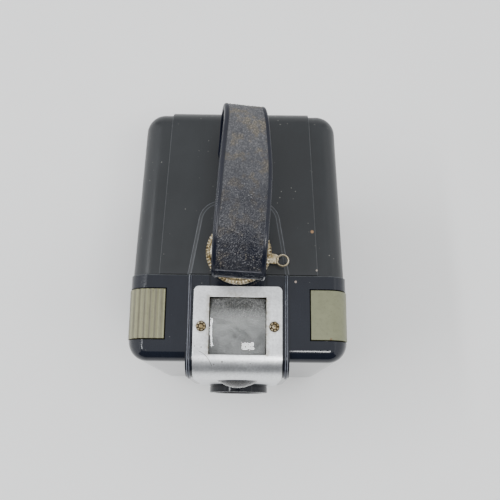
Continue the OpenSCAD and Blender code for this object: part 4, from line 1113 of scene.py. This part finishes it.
def build_eye_lens():
    """Domed finder lens: smooth crown, upright sides and a seat below."""
    low, high = (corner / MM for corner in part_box("finder_eye_lens"))
    half, seat_half, ball, top = WINDOW_HALF - 0.15, WINDOW_HALF + 1.5, 38, high.z
    count = 36
    bm = bmesh.new()
    grid = []
    for i in range(count + 1):
        row = []
        for j in range(count + 1):
            x = -half + 2 * half * i / count
            y = -half + 2 * half * j / count
            z = top - ball + math.sqrt(ball ** 2 - x * x - y * y)
            row.append(bm.verts.new(Vector((x, WINDOW_Y + y, z)) * MM))
        grid.append(row)
    for i in range(count):
        for j in range(count):
            bm.faces.new((grid[i][j], grid[i + 1][j], grid[i + 1][j + 1], grid[i][j + 1]))
    rim = ([grid[i][0] for i in range(count + 1)] + [grid[count][j] for j in range(1, count + 1)]
           + [grid[i][count] for i in range(count - 1, -1, -1)] + [grid[0][j] for j in range(count - 1, 0, -1)])
    seat_z, low_z = TOP - 3.4, TOP - 4.6
    grow = seat_half / half
    previous = rim
    for scale, z in ((1, seat_z), (grow, seat_z), (grow, low_z)):
        ring = [bm.verts.new(Vector((v.co.x / MM * scale, WINDOW_Y + (v.co.y / MM - WINDOW_Y) * scale, z)) * MM)
                for v in rim]
        for k in range(len(rim)):
            j = (k + 1) % len(rim)
            bm.faces.new((previous[k], ring[k], ring[j], previous[j]))
        previous = ring
    bm.faces.new(previous[::-1])
    return put("finder_eye_lens_visual", bm)


def build_objective():
    """Round domed lens with a seat behind the faceplate."""
    ball, seat_y = 13.8, BOSS_Y + WALL
    front_y = BOSS_Y - PLATE - 2.9
    dome = [(OBJECTIVE_R * k / 24, front_y + ball - math.sqrt(ball ** 2 - (OBJECTIVE_R * k / 24) ** 2))
            for k in range(25)]
    rear = [(OBJECTIVE_R, seat_y), (OBJECTIVE_R + 1.1, seat_y + 0.02), (OBJECTIVE_R + 1.2, seat_y + 0.12),
            (OBJECTIVE_R + 1.2, seat_y + 1), (0, seat_y + 1)]
    return turned("finder_objective_lens_visual", dome + rear, "y", (0, OBJECTIVE_Z), 96)


def build_hood():
    """Ring round the taking lens, with a groove near its foot and a conical bore."""
    y1, r = BOSS_Y - PLATE, HOOD_R - 0.1
    y0 = y1 - 3.7
    profile = [(7.4, BOSS_Y + 1.2), (11.35, y0 + 0.35), (11.55, y0 + 0.08), (11.8, y0), (13.3, y0), (13.62, y0 + 0.1),
               (r, y0 + 0.4), (r, y0 + 2.6), (r - 0.15, y0 + 2.75), (r - 0.15, y0 + 2.95), (r, y0 + 3.1), (r, y1),
               (13.3, y1), (13.3, BOSS_Y), (10.8, BOSS_Y), (10.8, BOSS_Y + 4), (8, BOSS_Y + 4), (8, BOSS_Y + 2.4),
               (6.85, BOSS_Y + 2.4), (6.85, BOSS_Y + 1.2)]
    return turned("lens_hood_visual", profile, "y", (0, LENS_Z), 128)


def build_spring():
    """Helical coil whose turns draw together at both ends."""
    low, high = (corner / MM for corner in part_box("release_spring"))
    wire, turns, sides = 0.4, 6.5, 10
    centre, radius = (low + high) / 2, (high.x - low.x) / 2 - wire
    rise = high.z - low.z - 2 * wire
    rings = []
    steps = int(turns * 28)
    for k in range(steps + 1):
        share = k / steps
        angle = 2 * math.pi * turns * share
        z = low.z + wire + rise * smooth(0.1, 0.9, share) * 0.5 + rise * share * 0.5
        outward = Vector((math.cos(angle), math.sin(angle), 0))
        place = Vector((centre.x, centre.y, z)) + outward * radius
        rings.append([place + outward * wire * math.cos(a) + Vector((0, 0, wire * math.sin(a)))
                      for a in (2 * math.pi * j / sides for j in range(sides))])
    return loft("release_spring_visual", rings)


# ---------------------------------------------------------------- scene
def make_lights():
    """Soft sky and walls, a paned window above and a strip on the left; the front stays dark."""
    cool = (0.98, 0.99, 1.0)
    area_light("sky", (0, 0.8, 1.7), (0, 0.8, 0), (5, 3.8), 67, color=cool)
    area_light("left_wall", (-1.7, 0.2, 0.7), (0, 0.2, 0.7), (3, 1.4), 20, (0, 1, 0), cool)
    area_light("right_wall", (1.7, 0.2, 0.7), (0, 0.2, 0.7), (3, 1.4), 17, (0, 1, 0), cool)
    area_light("rear_wall", (0, 2.6, 0.7), (0, 0, 0.7), (3.4, 1.4), 16, color=cool)
    window = Vector((0, -0.04, 0.11)) + Vector((0.224, -0.329, 0.916)) / 0.916 * 1.2
    for i in (-1, 1):
        for j in (-1, 1):
            place = window + Vector((0.095 * i, 0.058 * j, 0))
            area_light("window_pane", place, place - Vector((0, 0, 1)), (0.175, 0.1), 1.8)
    area_light("left_strip", (-0.73, -0.06, 1.12), (0, -0.06, 0.11), (0.78, 0.065), 5.4, (0, 1, 0), (0.95, 0.97, 1.0))


def make_floor():
    """Pale paper with faint clouds."""
    mesh = bpy.data.meshes.new("floor")
    floor = bpy.data.objects.new("floor", mesh)
    bpy.context.scene.collection.objects.link(floor)
    bm = bmesh.new()
    bmesh.ops.create_grid(bm, x_segments=8, y_segments=8, size=3)
    bm.to_mesh(mesh)
    bm.free()
    s = Shader("floor_paper", (0.66, 0.66, 0.65), 0.7)
    cloud = s.noise(9, 4, 0.6)
    s.color(s.mix(cloud, (0.89, 0.89, 0.88), (0.95, 0.95, 0.94)))
    s.bump(s.noise(900, 3), 0.00002, 0.4)
    mesh.materials.append(s.material)


make_camera()
make_world()
make_lights()
make_floor()

materials = {
    "front_moulding": phenolic(
        "front_moulding", (0.006, 0.008, 0.014), 0.15, 0.24, gloss_y=-0.0495, specular=0.38,
        # The two lines on the ridge flanks are painted highlights; the last is a light line along the rear edge
        lines=[(lambda s: rail_lines(s, (0.01925, 0.0201)), 0.0002, (0.16, 0.17, 0.2)),
               (parting_line, 0.00022, (0.07, 0.075, 0.08))],
        spots=[(0.02355, -0.0225, 0.0006, (0.35, 0.28, 0.24))]),
    "back_moulding": phenolic(
        "back_moulding", (0.011, 0.013, 0.015), 0.3, 0.42, specular=0.45,
        # Painted highlights along the panel edges and along the arch's edge and shoulder
        lines=[(panel_line, 0.00025, (0.06, 0.065, 0.07)),
               (lambda s: arch_line(s, 0.0001), 0.00026, (0.085, 0.09, 0.1)),
               (lambda s: arch_line(s, 0.0014), 0.00022, (0.06, 0.065, 0.075))],
        spots=[(0.0305, -0.0012, 0.0008, (0.3, 0.17, 0.08)), (0.0322, -0.0177, 0.0005, (0.3, 0.26, 0.22))]),
    "hood_moulding": phenolic("hood_moulding", (0.005, 0.006, 0.009), 0.08, 0.16, specular=0.25),
    "knob_moulding": phenolic("knob_moulding", (0.01, 0.011, 0.013), 0.16, 0.28),
    "faceplate_aluminium": aluminium("faceplate_aluminium"),
    "brass": brass("brass"),
    "finder_glass": glass("finder_glass", (0.95, 0.97, 0.97)),
    "mirror_glass": mirror("mirror_glass"),
    "tinplate": steel("tinplate", (0.55, 0.55, 0.53), 0.4),
    "steel": steel("steel"),
    "blackened_steel": lacquer("blackened_steel", (0.04, 0.04, 0.045), 0.45),
    "black_lacquer": lacquer("black_lacquer"),
    # Ribbed button, with shade painted into its grooves
    "button_ribbed": ivory("button_ribbed", (0.255, 0.25, 0.143), grooves=(0.0312, 0.00224)),
    "button_plain": ivory("button_plain", (0.178, 0.184, 0.106), (0.0376, -0.0459)),
    "strap_leather": leather("strap_leather"),
    "ruby_glass": glass("ruby_glass", (0.45, 0.01, 0.01), 0.05, 0.8),
}
# Nodes whose look differs from their slot's
looks = {
    "faceplate_rivets": brass("rivet_brass", rivet_heads=True, gilt=0.8),
    "latch_disc": brass("latch_brass", gilt=0.95, cream=0.85),
    "finder_eye_lens": glass("eye_glass", (0.95, 0.97, 0.97), dust=(0.36, 0.36, 0.31)),
}
groups = frame["record"]["behaviour"]["bodies"]
body_of_node = {node: body for body, nodes in groups.items() for node in nodes}
slot_of_node = {part["node"]: part["material_slot"] for part in frame["record"]["subparts"]}
# Remodelled nodes: builder, bevel in mm or None for a lens, sharp angle in degrees
custom = {
    "front_shell": (build_front_shell, 0.3, 32),
    "back_shell": (build_back_shell, 0.3, 32),
    "handle_strap": (build_strap, 0, 60),
    "latch_disc": (build_latch_disc, 0, 40),
    "faceplate": (build_faceplate, 0.16, 32),
    "faceplate_rivets": (build_rivets, 0, 50),
    "finder_eye_lens": (build_eye_lens, None, 30),
    "finder_objective_lens": (build_objective, None, 30),
    "lens_hood": (build_hood, 0, 30),
    "release_spring": (build_spring, 0, 60),
}
for node in frame["nodes"]:
    slot = slot_of_node[node]
    if node in custom:
        build, bevel, angle = custom[node]
        piece = build()
        if bevel is None:
            piece.data.shade_smooth()
            piece.data.set_sharp_from_angle(angle=math.radians(angle))
        else:
            tidy(piece)
            finish_mesh(piece, bevel * MM, angle)
    else:
        # A bevel leaves doubled faces on the shutter lever
        piece = copy_of(node, 0 if node == "shutter_lever" else 0.2 * MM)
    dress(piece, looks.get(node, materials[slot]))
    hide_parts(node)
    if node == "release_spring":
        # The coil shortens under the button
        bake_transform(piece)
    else:
        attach(piece, body_of_node[node])
